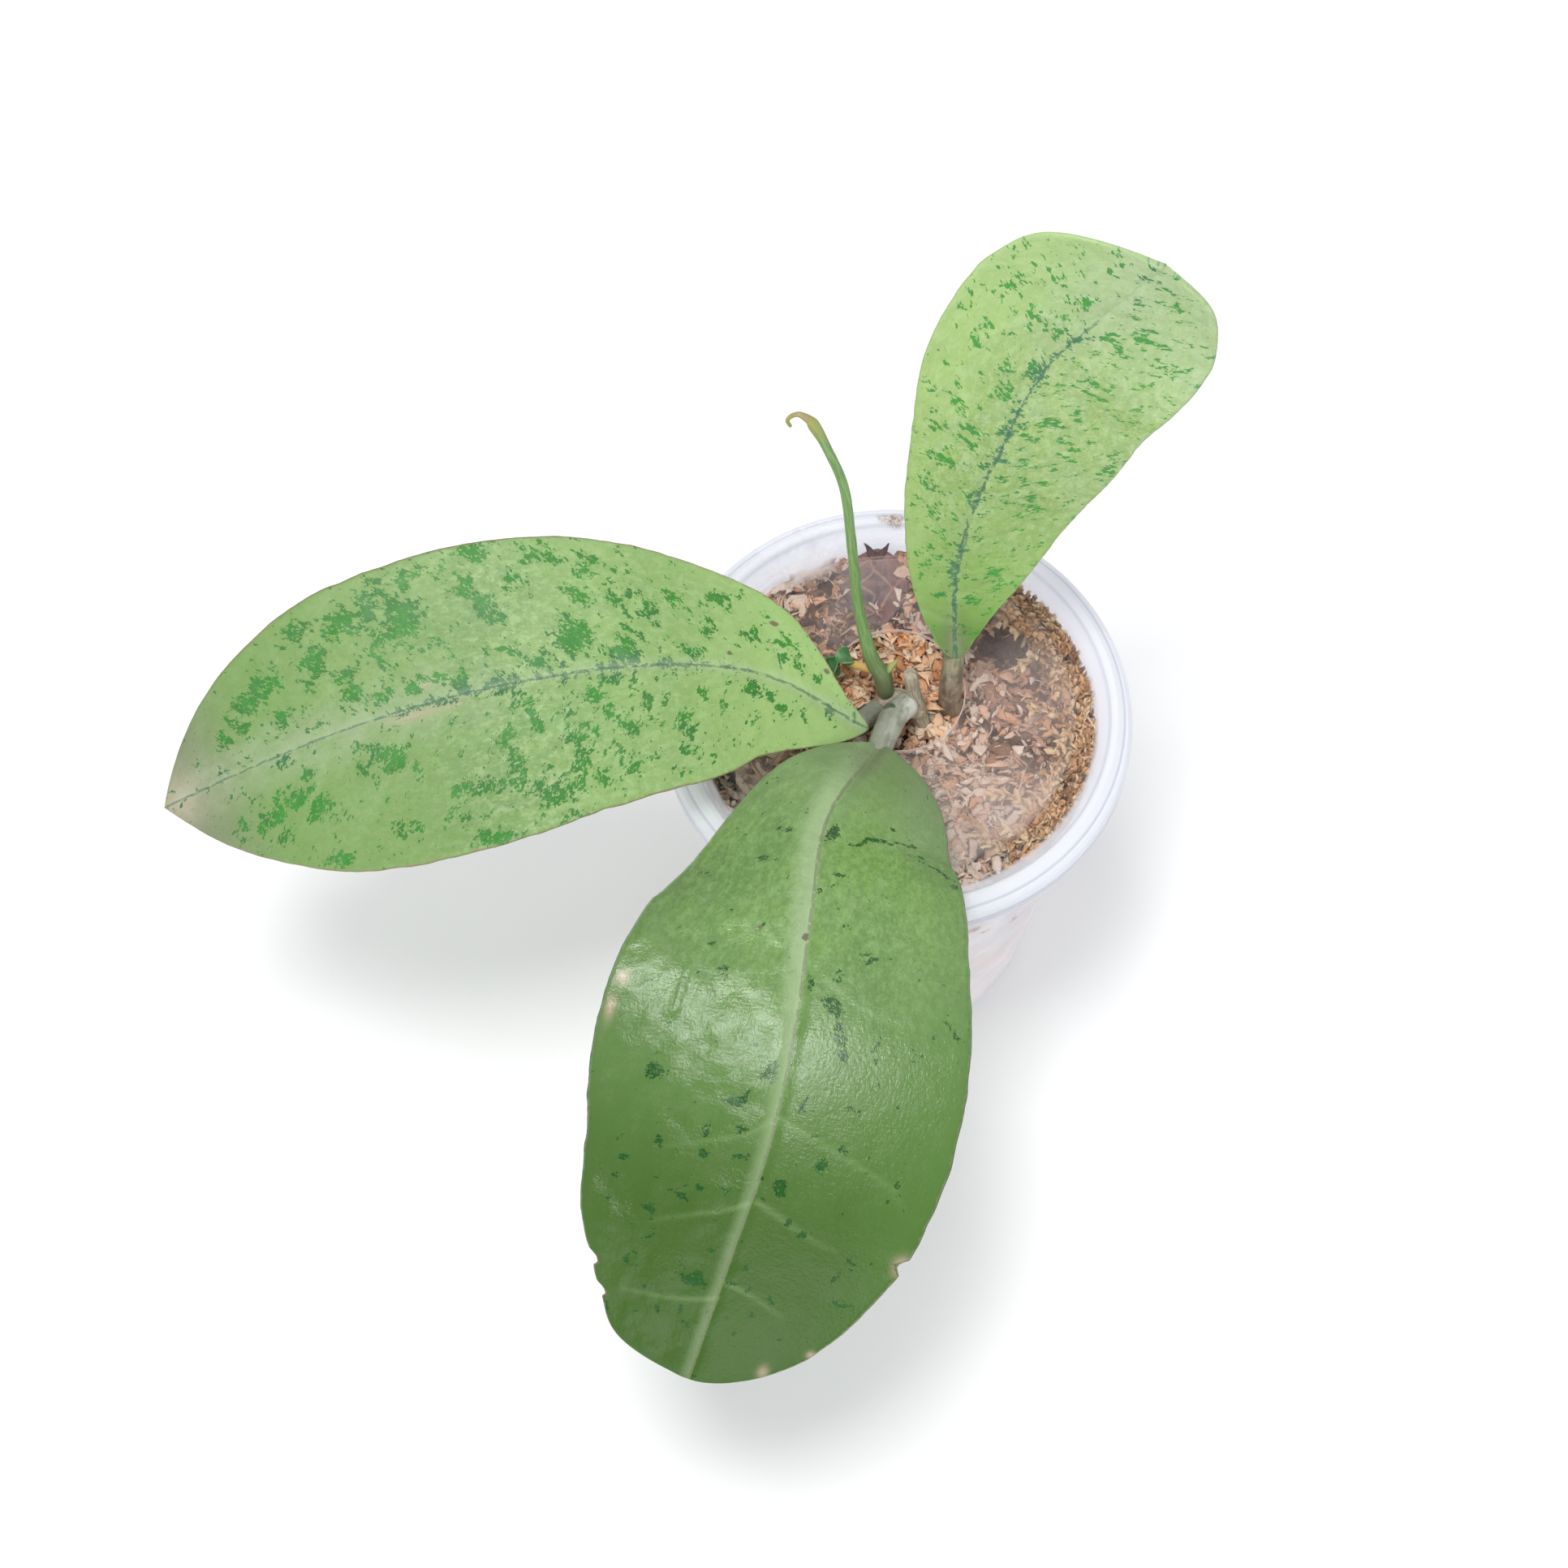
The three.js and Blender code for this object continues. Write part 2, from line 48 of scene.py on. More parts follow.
# The rolled lip's outline from its outer root round to its inner root: how far inside the lip's radius and
# how far under its top.
LIP = [(2.2, 1.2), (1.5, 1), (0.8, 2), (0.8, 3.6), (0, 3.6), (0, 1.8), (0.6, 0.7), (1.6, 0), (2.6, 0.5)]
DRAIN = {"count": 6, "radius": 2, "circle": 19}

# The cup's base as (radius, height), from the axis outwards and, inside, back again.
BASE_OUTSIDE = [(0.01, 0), (10, 0), (10.8, 1), (27.2, 1), (28, 0), (33, 0)]
BASE_INSIDE = [(32.2, 1), (28.4, 1), (27.6, 2), (10.4, 2), (9.6, 1), (0.01, 1)]

# The lid's skirt with the grooves round it.
SKIRT = {"radius": 48.8, "foot": 89.4, "top": 92.6, "grooves": 3, "groove": 48.1, "first": 89.9, "step": 0.95}

# The lid's bead as (radius, height): its inside from the channel to the skirt's foot, its outside back again.
BEAD_INSIDE = [(41.3, 92), (43.9, 94.6), (45.2, 95.2), (46.6, 94.3), (47.2, 93.1), (47.2, 91), (46.7, 90.6),
               (46.7, 90.2), (48, 89.4)]
BEAD_OUTSIDE = [(48.7, 93.2), (48.4, 94.2), (47.6, 94.7), (47, 94.5), (46.6, 95.3), (45.4, 96.1),
                (44.4, 95.9), (43.7, 95.1), (41, 92.8)]
HOLE = {"x": -0.4, "y": 4.4, "radius": 14.1}
MEDIUM = {"bottom": 2.35, "fill": 86.6, "slope": 0.035}

# How the medium sinks in its dark hollow behind the back petiole.
HOLLOW = {"x": 24, "y": 20, "wide": 8, "long": 5.5, "depth": 7}

# The room that the medium may fill: a roof under the panel, lower in the lid's channel, higher in the hole.
ROOM = {"roof": 93.9, "channel_drop": 2.2, "channel": (35.4, 36.4), "hole_rise": 4.6, "hole": (13.4, 12.0),
        "wall_gap": 0.35}

# Painted shade: where the husk's flakes are coloured darker, as if lying deeper: x, y and how wide.
PAINTED_SHADE_SPOTS = [(28.3, -8.8, 3.6), (32.5, -21.5, 4), (22.5, -3, 2), (33.5, -3.5, 2.4)]

# Rust-brown stains on the lid: the place, the radii between which a stain fades, and how strong it is.
RUST = [((-1.9, 44.6, 96), 1.2, 2.6, 1), ((-4.6, 45.3, 96), 0.8, 2.0, 0.6),
        ((-19.5, 39.4, 93), 0.8, 2.6, 0.35)]

# Where a glare is painted on the lid, and from how far off; spots of dirt on the cup; dark scars on the front
# petiole.
GLARE = {"place": (-22, 38.5, 0), "faint": 11, "full": 6}
DIRT = [((23.4, -34.5, 60), 1.5), ((18.5, -36.0, 66), 2.2)]
SCARS = [((-2.3, -1.9, 0), 0.8), ((-1.3, -2.1, 0), 0.5)]

# A leaf: its rib from foot to tip and the rib's length, which way its face looks, half widths left and right
# of the rib before the ends are rounded off, how each half cups and waves, and its petiole from the stem on.
LEFT = {
    "rib": [(-6, -6.5, 97.5), (-28, -0.5, 107.5), (-52, -4, 115), (-76.5, -10, 116.5), (-101, -17, 113.5),
            (-124, -25, 107.5), (-146.5, -33.5, 99)],
    "face": [(0, -0.15, 1), (0, -0.2, 1), (0, -0.2, 1)],
    "half": [[5.5, 19.5, 26.5, 29.5, 34, 33.5, 23.5, 0], [6, 8.5, 22, 28.5, 30.5, 31.5, 24.5, 3.5]],
    "cup": [0.08, 0.06],
    "wave": [(1.2, 2, 0.1), (1.2, 1.5, 0.3)],
    "petiole": [(-3.6, 1.4, 92.6), (-5.6, -1, 93.6), (-7.4, -3.6, 95.4), (-9.6, -4.8, 98)],
    "petiole_radius": [2.2, 2.2, 2, 1.8],
    "length": 152.1,
}

FRONT = {
    "rib": [(-3.5, -11, 100), (-13.5, -31.5, 106.5), (-16, -55, 110.5), (-18, -78.5, 110), (-22, -101, 102.5),
            (-28.5, -120.5, 90.5), (-35, -138.5, 76)],
    "face": [(0, 0, 1), (0, 0, 1), (0, 0, 1)],
    "half": [[51, 44.5, 35, 33, 35.5, 36.5, 36, 29.5], [3.5, 21, 25, 35.5, 39, 41.5, 47.5, 88.5]],
    "cup": [-0.12, -0.08],
    "wave": [(1.2, 1.5, 0.5), (2.6, 2, 0.41)],
    "petiole": [(1.6, 0.3, 96.2), (-0.6, -2.6, 97.2), (-1.9, -6.4, 98.4), (-3.2, -10.2, 99)],
    "petiole_radius": [2.7, 2.8, 2.8, 2.5],
    "length": 143.4,
}

BACK = {
    "rib": [(11, 6.5, 106), (9.5, 13, 125), (11.5, 18.5, 144), (16, 22, 163.5), (21.5, 26, 182),
            (31.9, 28.2, 200.4), (40.1, 27, 216.6)],
    "face": [(0, -1, 0.45), (0, -1, 0.45), (0, -1, 0.6)],
    "half": [[8, 9.5, 12, 15.6, 21.8, 31.1, 36, 12.7], [9, 10, 16.5, 21, 24.1, 30.6, 36.3, 60.6]],
    "cup": [0.06, 0.04],
    "wave": [(1, 1.5, 0.2), (1.6, 2, 0)],
    "petiole": [(11.3, 4.4, 88.6), (10.9, 4.9, 93), (10.7, 5.9, 100), (10.9, 7, 106)],
    "petiole_radius": [2.7, 2.5, 2.3, 2.0],
    "length": 120.1,
}

BLADE = {"rows": 300, "columns": 104, "edge": 0.8, "middle": 1.3}
RIB = {"radius": 1.7, "tip": 0.5, "sunk": 0.35}

STEM = {
    "main": [(6.6, -1.6, 50), (6.3, -1, 70), (5.9, -0.1, 85), (4.6, 1.1, 91), (3.3, 1.9, 97),
             (1.9, 2.5, 105.4)],
    "main_radius": [1.9, 1.9, 1.7, 1.8, 1.6, 1.45],
    "knuckle": [(4.4, 1.3, 92.6), (1, 2, 93.8), (-2.6, 2.6, 95)],
    "knuckle_radius": [2.1, 2.7, 2.4],
    "side": [(5.4, 0.6, 87.2), (8.6, 3, 87.6), (11.6, 4.6, 88)],
    "side_radius": [1.5, 1.6, 1.9],
}

ROOTS = {"count": 3, "x": 6.3, "y": -1.1, "top": 72, "step": 4, "length": 30, "spread": 11, "turn": 0.6}

SHOOT = {
    "path": [(-2.6, 2.7, 96.4), (-3, 3, 98.6), (-3.7, 4.2, 101.6), (-5.8, 5.6, 104.7), (-8, 8, 111.9),
             (-9.8, 10.2, 121.1), (-12.1, 13.8, 140.1), (-14.1, 16.7, 153.4), (-18, 18.7, 164.4),
             (-20.4, 19.7, 169.6), (-21.4, 19.8, 171.6), (-23.4, 20, 173), (-24.9, 20.2, 172),
             (-25.6, 20.4, 170), (-25, 20.2, 168.6)],
    "radius": [1.7, 1.9, 1.9, 1.6, 1.3, 1.1, 1.02, 0.98, 0.95, 1.2, 0.9, 0.55, 0.45, 0.4, 0.35],
    "bract": [(-3.4, 4.4, 101.6), (-2.2, 5, 103.4), (-1, 5.4, 105.4)],
    "bract_radius": [1.2, 0.9, 0.3],
}

YOUNG = {
    "stalk": [(-6, 5.75, 100.8), (-8.4, 6.8, 100), (-10.8, 7.7, 99.2)],
    "radius": [0.9, 0.9, 0.8],
    "x": -12.2, "y": 8.1, "z": 98.6,
    "outer": 2.5, "inner": 1.7, "length": 4.2, "from": -0.4, "to": 4.55, "lean": 0.5,
}

DRY = {
    "rib": [(-4, 23, 88.4), (-4.6, 29, 89), (-4.6, 35, 89.9), (-5.4, 40.4, 90.7)],
    "face": [(0, -0.1, 1), (0, -0.2, 1)],
    "half": [[3, 8.5, 8.5, 5], [2, 5.5, 5.5, 4.5]],
    "cup": [0.1, 0.1],
    "wave": [(0.4, 2, 0.2), (0.4, 2, 0.6)],
    "spikes": [
        [(-5.8, 37.4, 90.2), (-6.6, 38.8, 90.9), (-7.3, 39.9, 91.6), (-8.3, 40.9, 92.1)],
        [(-5.2, 37.4, 90.2), (-4.6, 38.8, 90.9), (-3.7, 40, 91.5), (-3.1, 41.2, 92)],
        [(-5.6, 37, 90), (-5.4, 38.8, 90.7), (-5.9, 39.6, 91)],
    ],
}

# Flecks on each blade: along and across it, half length and half width, and a power where it isn't 1.
LEFT_FLECKS = [
    (100, -24, 2.5, 1.9), (101.5, -21, 1.7, 2.2), (107, -21.5, 4.1, 1.7, 1.3), (95, -17.5, 2.8, 3.3, 1.5),
    (99.5, -15, 2.5, 1.7), (103, -18.5, 1.9, 1.1), (115.5, -22.5, 2.5, 1.4), (93, -26, 3.3, 1.7),
    (98.5, -27.5, 1.9, 1), (79, -28, 3, 1.7), (85.5, -25.5, 1.4, 1.1), (82, -21, 1.4, 1.7, 1.3),
    (79, -17.5, 2.2, 2.2, 1.2), (77.5, -14, 2.2, 1.7), (73, -21, 1.7, 1.7), (113, -15.5, 1.5, 2.1, 1.7),
    (118, -17, 0.7, 0.5), (100.5, -11, 1.9, 1.7), (105, -11.5, 0.7, 0.6), (124.5, -14.5, 3.3, 1.7),
    (128, -12.5, 2.5, 1.9, 1.4), (131.5, -9, 1.7, 1.4), (135.5, -7.5, 1.5, 2.1), (122.5, -6.5, 2.2, 1.7),
    (115.5, -12, 1.7, 1.7), (109, -10, 2.2, 1.4), (107.5, -6, 2.5, 2.2), (102.5, -4.5, 2.8, 1.1, 1.3),
    (96, -4, 1.7, 1.4, 1.3), (91.5, -4, 1.4, 1.1), (87, -2.5, 1.2, 1.9, 1.9), (79.5, -0.5, 3, 1.1),
    (79.5, 1.5, 2.5, 0.7), (117, -2, 1.7, 0.8), (75, 4.5, 1.9, 1.6), (74.5, 9, 0.9, 1.8, 1.5),
    (108, 5.5, 1.9, 1.4), (104.5, 8.5, 3, 1.9, 1.5), (111.5, 8.5, 1, 1.6), (126, 1.5, 1.9, 1.1),
    (121, 6, 1.1, 0.8, 1.2), (125.5, 9.5, 2.5, 1.2, 1.2), (130.5, 11.5, 1.6, 2.2, 1.2),
    (130.5, 16, 1.6, 1.6), (122, 13.5, 2.7, 1.9, 1.4), (138, 10.5, 1.1, 1.7), (138.5, 13.5, 1.4, 1.1),
    (133.5, 12, 1.1, 1.4), (120, 25, 2.5, 1, 1.7), (104.5, 24.5, 2.4, 1.4), (99.5, 13, 1.9, 1.1),
    (89.5, 19.5, 3, 1.6, 1.2), (83.5, 20.5, 3, 1.4, 1.2), (80.5, 11.5, 1.9, 1.9), (79.5, 16, 1.6, 1.6),
    (79, 20.5, 1.1, 2.5, 1.3), (74, 24.5, 3.3, 2.2), (86, 31, 3.5, 1.4, 1.3), (95, 23, 1.1, 1.4),
    (91.5, 25, 1.1, 1.1), (81, -7, 1.1, 0.8, 1.2), (71.5, -3.5, 2.8, 1.4, 1.1), (67, -24.5, 2.5, 1.7),
    (76.5, -7, 1.7, 0.8), (108.5, -18.5, 1.4, 1.1), (99.5, -3.5, 0.6, 0.6), (59, -21, 2.2, 2.2),
    (64, -18, 0.8, 0.6), (61, -16, 1.8, 1.4, 1.5), (63.5, -7.5, 3, 2.9, 1.8), (53.5, -14.5, 2.5, 1.9),
    (49, -12, 1.3, 2.5), (54, -7.5, 1.7, 0.8), (54, -3, 2.6, 2.5, 1.5), (52.5, -10, 0.6, 1.1),
    (43.5, -14, 1.7, 1.7), (34.5, -14, 2.2, 1.4), (37, -8.5, 1.4, 2.5), (28.5, -9, 0.8, 0.6, 1.2),
    (29.5, -7, 1.4, 1.1), (23, -7.5, 1.7, 0.7), (70.5, -3, 2.2, 1.7, 1.2), (67, -2, 1.7, 1.1),
    (58, 2.5, 3.3, 1.1), (61.5, 6, 1.9, 1.9), (58.5, 9, 1.6, 1.1), (55.5, 12.5, 1.9, 1.4, 1.2),
    (68.5, 7.5, 1.9, 1.6), (50.5, 8, 1.4, 1.4, 1.4), (49, 12, 1.2, 0.8, 1.3), (43, 12.5, 1.4, 2.2),
    (43, 19, 2.2, 1.7), (65.5, 13.5, 2.5, 2.2), (66, 19, 1.9, 3, 1.3), (70, 24, 3.8, 2.2),
    (62.5, 23, 1.6, 2.2), (58, 18.5, 2.2, 1.1), (54.5, 21, 1.9, 1.4), (80, 11, 1.6, 1.6),
    (27, 3, 1.7, 1.7, 1.3), (22, 3.5, 1.4, 1.4), (19, 6, 1.7, 0.7, 1.3), (13.5, 4.5, 0.7, 1.7, 1.2),
    (9, 1, 0.8, 1.2, 1.4), (14.5, -3.5, 1, 1.1, 1.2), (33.5, 8.5, 1.7, 0.9), (26, 16, 1.4, 0.8),
    (40, -3, 2.5, 1.1), (73, 19.5, 0.8, 1.1), (53, 3.5, 0.6, 1.7), (49, 3.5, 0.8, 0.8), (39, 6, 1.1, 1.1),
    (20, -4.5, 1.7, 1.7), (86, 32, 2.2, 1.1, 1.3), (69, 30, 2.7, 0.8, 1.2), (46, 6, 0.6, 0.6),
]

FRONT_FLECKS = [
    (28, -9.5, 0.3, 0.4), (24, -4, 0.3, 0.4), (28, -7.5, 0.4, 0.7), (29.5, -17, 0.3, 0.4),
    (27.5, 2, 1.3, 0.6, 1.5), (29.5, 0.5, 0.3, 0.3), (35, -11, 0.3, 0.6, 1.2), (35.5, -9, 0.3, 0.4),
    (40, -22, 0.5, 1.5, 1.2), (39.5, -21, 0.4, 0.4), (20, 12, 0.5, 0.6, 1.3), (38, 4.5, 0.6, 1.1, 1.4),
    (41.5, 3.5, 0.5, 0.9, 1.3), (45.5, 4.5, 0.3, 0.6, 1.1), (42, 0.5, 0.6, 0.4), (40.5, -5, 0.4, 0.4),
    (50.5, -9, 0.4, 0.5), (49.5, 7, 0.4, 0.6), (61.5, -16, 1.2, 0.9), (63.5, -15, 0.5, 0.7),
    (65.5, -29, 0.7, 0.7), (62.5, 1.5, 1, 0.5, 1.5), (65.5, 5.5, 0.7, 1.1, 1.2), (67, 6.5, 1, 1.2, 1.4),
    (70, 8, 1.4, 1, 1.5), (72, 9, 1, 1, 1.5), (75.5, 9.5, 0.8, 0.8, 1.3), (55.5, 12, 0.5, 1.4, 1.1),
    (60.5, 7, 0.6, 0.7), (81.5, -25, 0.6, 0.6), (85, -25, 1.2, 1.1, 1.5), (80.5, -2.5, 1.2, 1.2, 1.4),
    (73.5, -17, 0.3, 0.4), (66, 28.5, 0.8, 0.7, 1.1), (68.5, 31.5, 0.9, 0.9, 1.2), (69, 26.5, 0.4, 0.5),
    (56, 16.5, 0.4, 0.4), (55.5, -19, 0.3, 0.3), (62.5, -19.5, 0.4, 0.3), (76, -7, 0.3, 0.4),
    (75, -4, 0.4, 0.4), (72.5, 16, 1.1, 0.3), (75, 16.5, 0.3, 0.4, 1.2), (75, -24, 0.3, 0.4),
    (48.5, -16.5, 0.3, 0.3), (57, -3.5, 0.3, 0.3), (88, -8.5, 0.9, 1.3, 1.7), (86.5, -6.5, 0.3, 0.6),
    (94.5, -13, 0.5, 0.8, 1.2), (93.5, -6.5, 0.5, 1.2, 1.4), (96, -12, 0.2, 0.5),
    (99.5, -11.5, 0.9, 0.7, 1.8), (98.5, -5, 0.5, 1.2, 1.4), (107, -26.5, 0.5, 0.8, 1.3),
    (103, -28.5, 0.3, 0.3), (101, -21, 0.4, 0.4, 1.3), (108, -19.5, 0.3, 0.5), (109.5, -13, 0.4, 1.1, 1.3),
    (110, -15.5, 0.3, 0.3), (105.5, -5.5, 0.5, 1.3, 1.2), (107.5, -13.5, 0.3, 0.5), (107.5, -10.5, 0.3, 0.3),
    (114, -17.5, 0.9, 1, 1.6), (116, -17.5, 0.3, 0.4, 1.2), (101, 4, 0.7, 0.9, 1.4),
    (102, 4.5, 1.1, 0.8, 1.8), (95, 10.5, 0.9, 1.2, 1.7), (96.5, 12, 0.4, 0.5), (92, 14, 0.6, 0.7, 1.6),
    (86, 4.5, 0.4, 0.6, 1.5), (87.5, 6.5, 0.3, 0.4, 1.3), (84.5, 12, 0.3, 0.4, 1.3), (84, 15, 0.3, 0.3),
    (83.5, 22, 0.4, 0.4), (95, 19.5, 0.4, 0.5, 1.2), (91, 8, 0.7, 0.7), (124.5, -5.5, 1, 1.7, 1.8),
    (118, -4.5, 0.5, 0.7, 1.4), (124, -18, 0.4, 0.6, 1.3), (126, -19, 0.3, 0.4),
    (119.5, -15.5, 0.4, 0.5, 1.3), (109, 12, 0.8, 0.7, 1.4), (113.5, 20, 1, 0.4, 1.3), (109, 25.5, 0.3, 0.4),
    (110, 22, 0.3, 0.4, 1.2), (118.5, 23, 0.4, 1.2), (120, 24.5, 0.3, 0.4, 1.2), (130, -6, 0.5, 0.5, 1.3),
    (132.5, -5, 0.5, 0.8), (133, -10.5, 0.3, 0.6, 1.2), (135, -13.5, 0.3, 0.5), (136.5, -19.5, 0.3, 0.3),
    (131, 5, 0.4, 0.5, 1.3), (129, 0, 0.4, 0.4, 1.3), (120.5, -1, 0.5, 0.4), (122, 1, 0.4, 0.3, 1.3),
    (134, 0, 0.5, 0.4, 1.3), (129, -14, 0.5, 0.4), (129.5, 14.5, 0.4, 0.4, 1.5), (122.5, 10, 0.3, 0.4),
    (122, 4.5, 0.3, 0.3), (99, 23.5, 0.3, 0.5, 1.1), (101.5, 16, 0.3, 0.5, 1.1), (95, 26, 0.3, 0.5),
    (111.5, -28, 0.3, 0.4), (115.5, -26, 0.3, 0.4), (107.5, 8, 0.3, 0.4, 1.4), (118, 3.5, 0.3, 0.3),
    (73, 24, 0.4, 0.4), (101, 0.5, 0.5, 0.3, 1.2), (104.5, 2.5, 0.2, 0.4), (126, 6.5, 0.3, 0.3),
    (129, 3, 0.3, 0.4),
]

BACK_FLECKS = [
    (81.5, 1.5, 2.3, 1.5, 1.4), (78, 2, 0.9, 1.8), (95, 17.5, 2, 1.1), (94, 18, 0.6, 1.4),
    (90.5, 12.5, 1, 1.7), (85, 15, 1.2, 1.2), (85, 11, 1, 1, 1.6), (103, 13.5, 0.7, 0.7, 1.4),
    (99.5, 12.5, 0.6, 0.7), (103, 9.5, 0.6, 1), (99, 7.5, 0.7, 1.3), (100, 4, 0.9, 1.7, 1.5),
    (92, 4.5, 1.6, 1.2, 1.3), (95, 5, 1.7, 0.8), (100, 2.5, 1.4, 0.7), (106.5, 1.5, 0.6, 1.4),
    (115.5, -2.5, 1.4, 1.4), (112.5, -7, 0.7, 2, 1.2), (108, -3, 0.7, 1.4), (115, 0, 0.6, 0.8),
    (96, -3.5, 1.2, 2, 1.3), (95.5, -6.5, 0.8, 3.5, 1.2), (101, -9, 1.3, 3.7, 1.4),
    (87, -4.5, 1.2, 1.7, 1.1), (91.5, -10.5, 0.9, 1.3), (84.5, -9, 0.6, 4.4), (81.5, -9, 0.6, 3.2),
    (79, 7.5, 1.1, 2), (73, 3.5, 1.5, 1.9), (70, 1, 0.5, 1.5, 1.3), (68.5, -6, 1.8, 2.7, 1.3),
    (64, -4, 1, 1.8), (73, -10.5, 1.5, 2.4), (79.5, -13.5, 0.9, 1.2), (78.5, -16.5, 0.9, 1.8),
    (65, -10.5, 0.5, 2.4, 1.3), (61, 12.5, 1.5, 1.2), (62.5, 8, 1.2, 1.5), (58.5, 6.5, 1.5, 2.1, 1.1),
    (53, 10, 1, 2.7, 1.5), (51.5, 7, 0.9, 1.2, 1.3), (54.5, 1, 2.1, 1.8, 1.3), (64, 1.5, 0.9, 1.3),
    (57, -6.5, 0.9, 2.4), (53, -6.5, 1.2, 1.2), (58.5, -11, 1.5, 1.8), (53, -11, 0.9, 2.1), (48, -9, 1, 2.1),
    (58, -16, 0.5, 1.8), (66.5, -20, 1.5, 0.9), (62, -21, 0.6, 0.7), (45.5, 11.5, 1.5, 1.5, 1.1),
    (37.5, 7.5, 1, 1.4, 1.6), (41, 6, 0.9, 1.5), (44.5, 1.5, 2.1, 0.9), (41.5, -8, 1.2, 1.8),
    (44.5, -10.5, 0.9, 1.8), (34.5, -2, 2.2, 1.2), (24.5, 0.5, 2.2, 2.2, 1.4), (25.5, -6, 0.8, 1.9),
    (22.5, -7.5, 2.2, 1.3), (16.5, -4, 0.9, 1.3, 1.4), (17.5, 3, 1.3, 1.4), (31.5, -9.5, 0.6, 0.7, 1.3),
    (33.5, -12.5, 0.7, 0.6), (22.5, 7, 0.9, 0.8), (22.5, -11, 0.8, 0.8), (93, -16.5, 0.8, 0.9),
    (97.5, -18, 1, 1), (111, 6, 0.8, 0.6), (92, -1, 0.9, 1), (72.5, 14, 0.8, 1.3), (68.5, 12, 1.2, 0.7),
    (66, 10.5, 0.7, 1.2), (67, 0, 0.9, 0.7), (102, -7.5, 0.7, 1.7), (87, -11.5, 0.5, 1.8),
    (68.5, -13, 0.6, 1.8), (65.5, -16.5, 0.6, 0.8), (42.5, 1, 1.2, 0.9), (70, 18, 0.6, 0.9),
    (39.5, 12, 0.6, 0.6), (26, 10, 0.8, 0.6), (27, 4, 0.9, 0.7), (86, 4, 1.2, 0.6), (88, 1.5, 0.7, 0.9),
    (87.5, -18.5, 0.6, 0.9), (98.5, -15, 0.6, 0.6), (101, 21, 0.5, 0.8), (102.5, 16.5, 0.5, 1.1),
    (88.5, 8, 0.7, 0.7), (92.5, 10, 1.7, 0.6),
]


# ---------- curves and smooth random values ----------
def catmull(points, t):
    """The smooth curve through evenly spaced points, or through numbers; t runs from 0 to 1."""
    p = np.asarray(points, float)
    p = p[:, None] if p.ndim == 1 else p
    count = len(p)
    far = np.vstack([2 * p[0] - p[1], p, 2 * p[-1] - p[-2]])
    x = np.clip(np.asarray(t, float), 0, 1) * (count - 1)
    i = np.minimum(x.astype(int), count - 2)
    f = (x - i)[..., None]
    a, b, c, d = far[i], far[i + 1], far[i + 2], far[i + 3]
    return 0.5 * (2 * b + (c - a) * f + (2 * a - 5 * b + 4 * c - d) * f**2 + (3 * b - a - 3 * c + d) * f**3)


def number_along(values, t):
    """A number that runs smoothly through evenly spaced values."""
    return catmull(values, t)[..., 0]


def unit(vectors):
    return vectors / np.maximum(np.linalg.norm(vectors, axis=-1, keepdims=True), 1e-12)


def bumps(x, y, seed, octaves=1):
    """Smooth random heights from -1 to 1, about one bump per unit, finer ones on top with each octave."""
    total = np.zeros(np.broadcast(x, y).shape)
    share, norm = 1.0, 0.0
    for octave in range(octaves):
        xs, ys = np.asarray(x) * 2**octave, np.asarray(y) * 2**octave
        xi, yi = np.floor(xs), np.floor(ys)
        xf, yf = xs - xi, ys - yi
        xf, yf = xf * xf * (3 - 2 * xf), yf * yf * (3 - 2 * yf)

        def corner(i, j):
            h = np.sin((xi + i) * 127.1 + (yi + j) * 311.7 + (seed + octave) * 74.7) * 43758.5453
            return 2 * (h - np.floor(h)) - 1

        low = corner(0, 0) * (1 - xf) + corner(1, 0) * xf
        high = corner(0, 1) * (1 - xf) + corner(1, 1) * xf
        total += share * (low * (1 - yf) + high * yf)
        norm += share
        share *= 0.5
    return total / norm


def step_between(x, low, high):
    """0 up to low, 1 from high on, and a smooth step between."""
    t = np.clip((x - low) / (high - low), 0, 1)
    return t * t * (3 - 2 * t)


# ---------- meshes ----------
def make_object(name, points, faces, materials, attributes=None, slots=None):
    """A smooth mesh object made of points in millimetres; slots gives each face's material."""
    mesh = bpy.data.meshes.new(name)
    mesh.from_pydata((np.asarray(points) * MM).tolist(), [], faces)
    for key, values in (attributes or {}).items():
        layer = mesh.attributes.new(key, "FLOAT_VECTOR", "POINT")
        layer.data.foreach_set("vector", np.asarray(values, np.float32).ravel())
    for material in materials:
        mesh.materials.append(material)
    if slots is not None:
        mesh.polygons.foreach_set("material_index", slots)
    mesh.polygons.foreach_set("use_smooth", [True] * len(mesh.polygons))
    mesh.update()
    obj = bpy.data.objects.new(name, mesh)
    bpy.context.scene.collection.objects.link(obj)
    return obj


def face_outward(mesh):
    """Turns the faces of a closed mesh outwards."""
    shape = bmesh.new()
    shape.from_mesh(mesh)
    bmesh.ops.recalc_face_normals(shape, faces=shape.faces)
    shape.to_mesh(mesh)
    shape.free()


def piece(name, points, faces, materials, node, attributes=None, slots=None):
    """A piece of the plant that stands for one of the solids."""
    obj = make_object(name, points, faces, materials, attributes, slots)
    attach(obj, "root")
    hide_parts(node)
    return obj


def net(rows, columns, closed=False):
    """Faces of a grid of points, row by row; closed joins the last column to the first."""
    i, j = np.meshgrid(np.arange(rows - 1), np.arange(columns if closed else columns - 1), indexing="ij")
    here, beside = i * columns + j, i * columns + (j + 1) % columns
    return np.stack([here, beside, beside + columns, here + columns], -1).reshape(-1, 4)


def quads(a, b, c, d):
    """Four-cornered faces from the numbers of their corners."""
    return np.stack([a, b, c, d], -1).reshape(-1, 4).tolist()


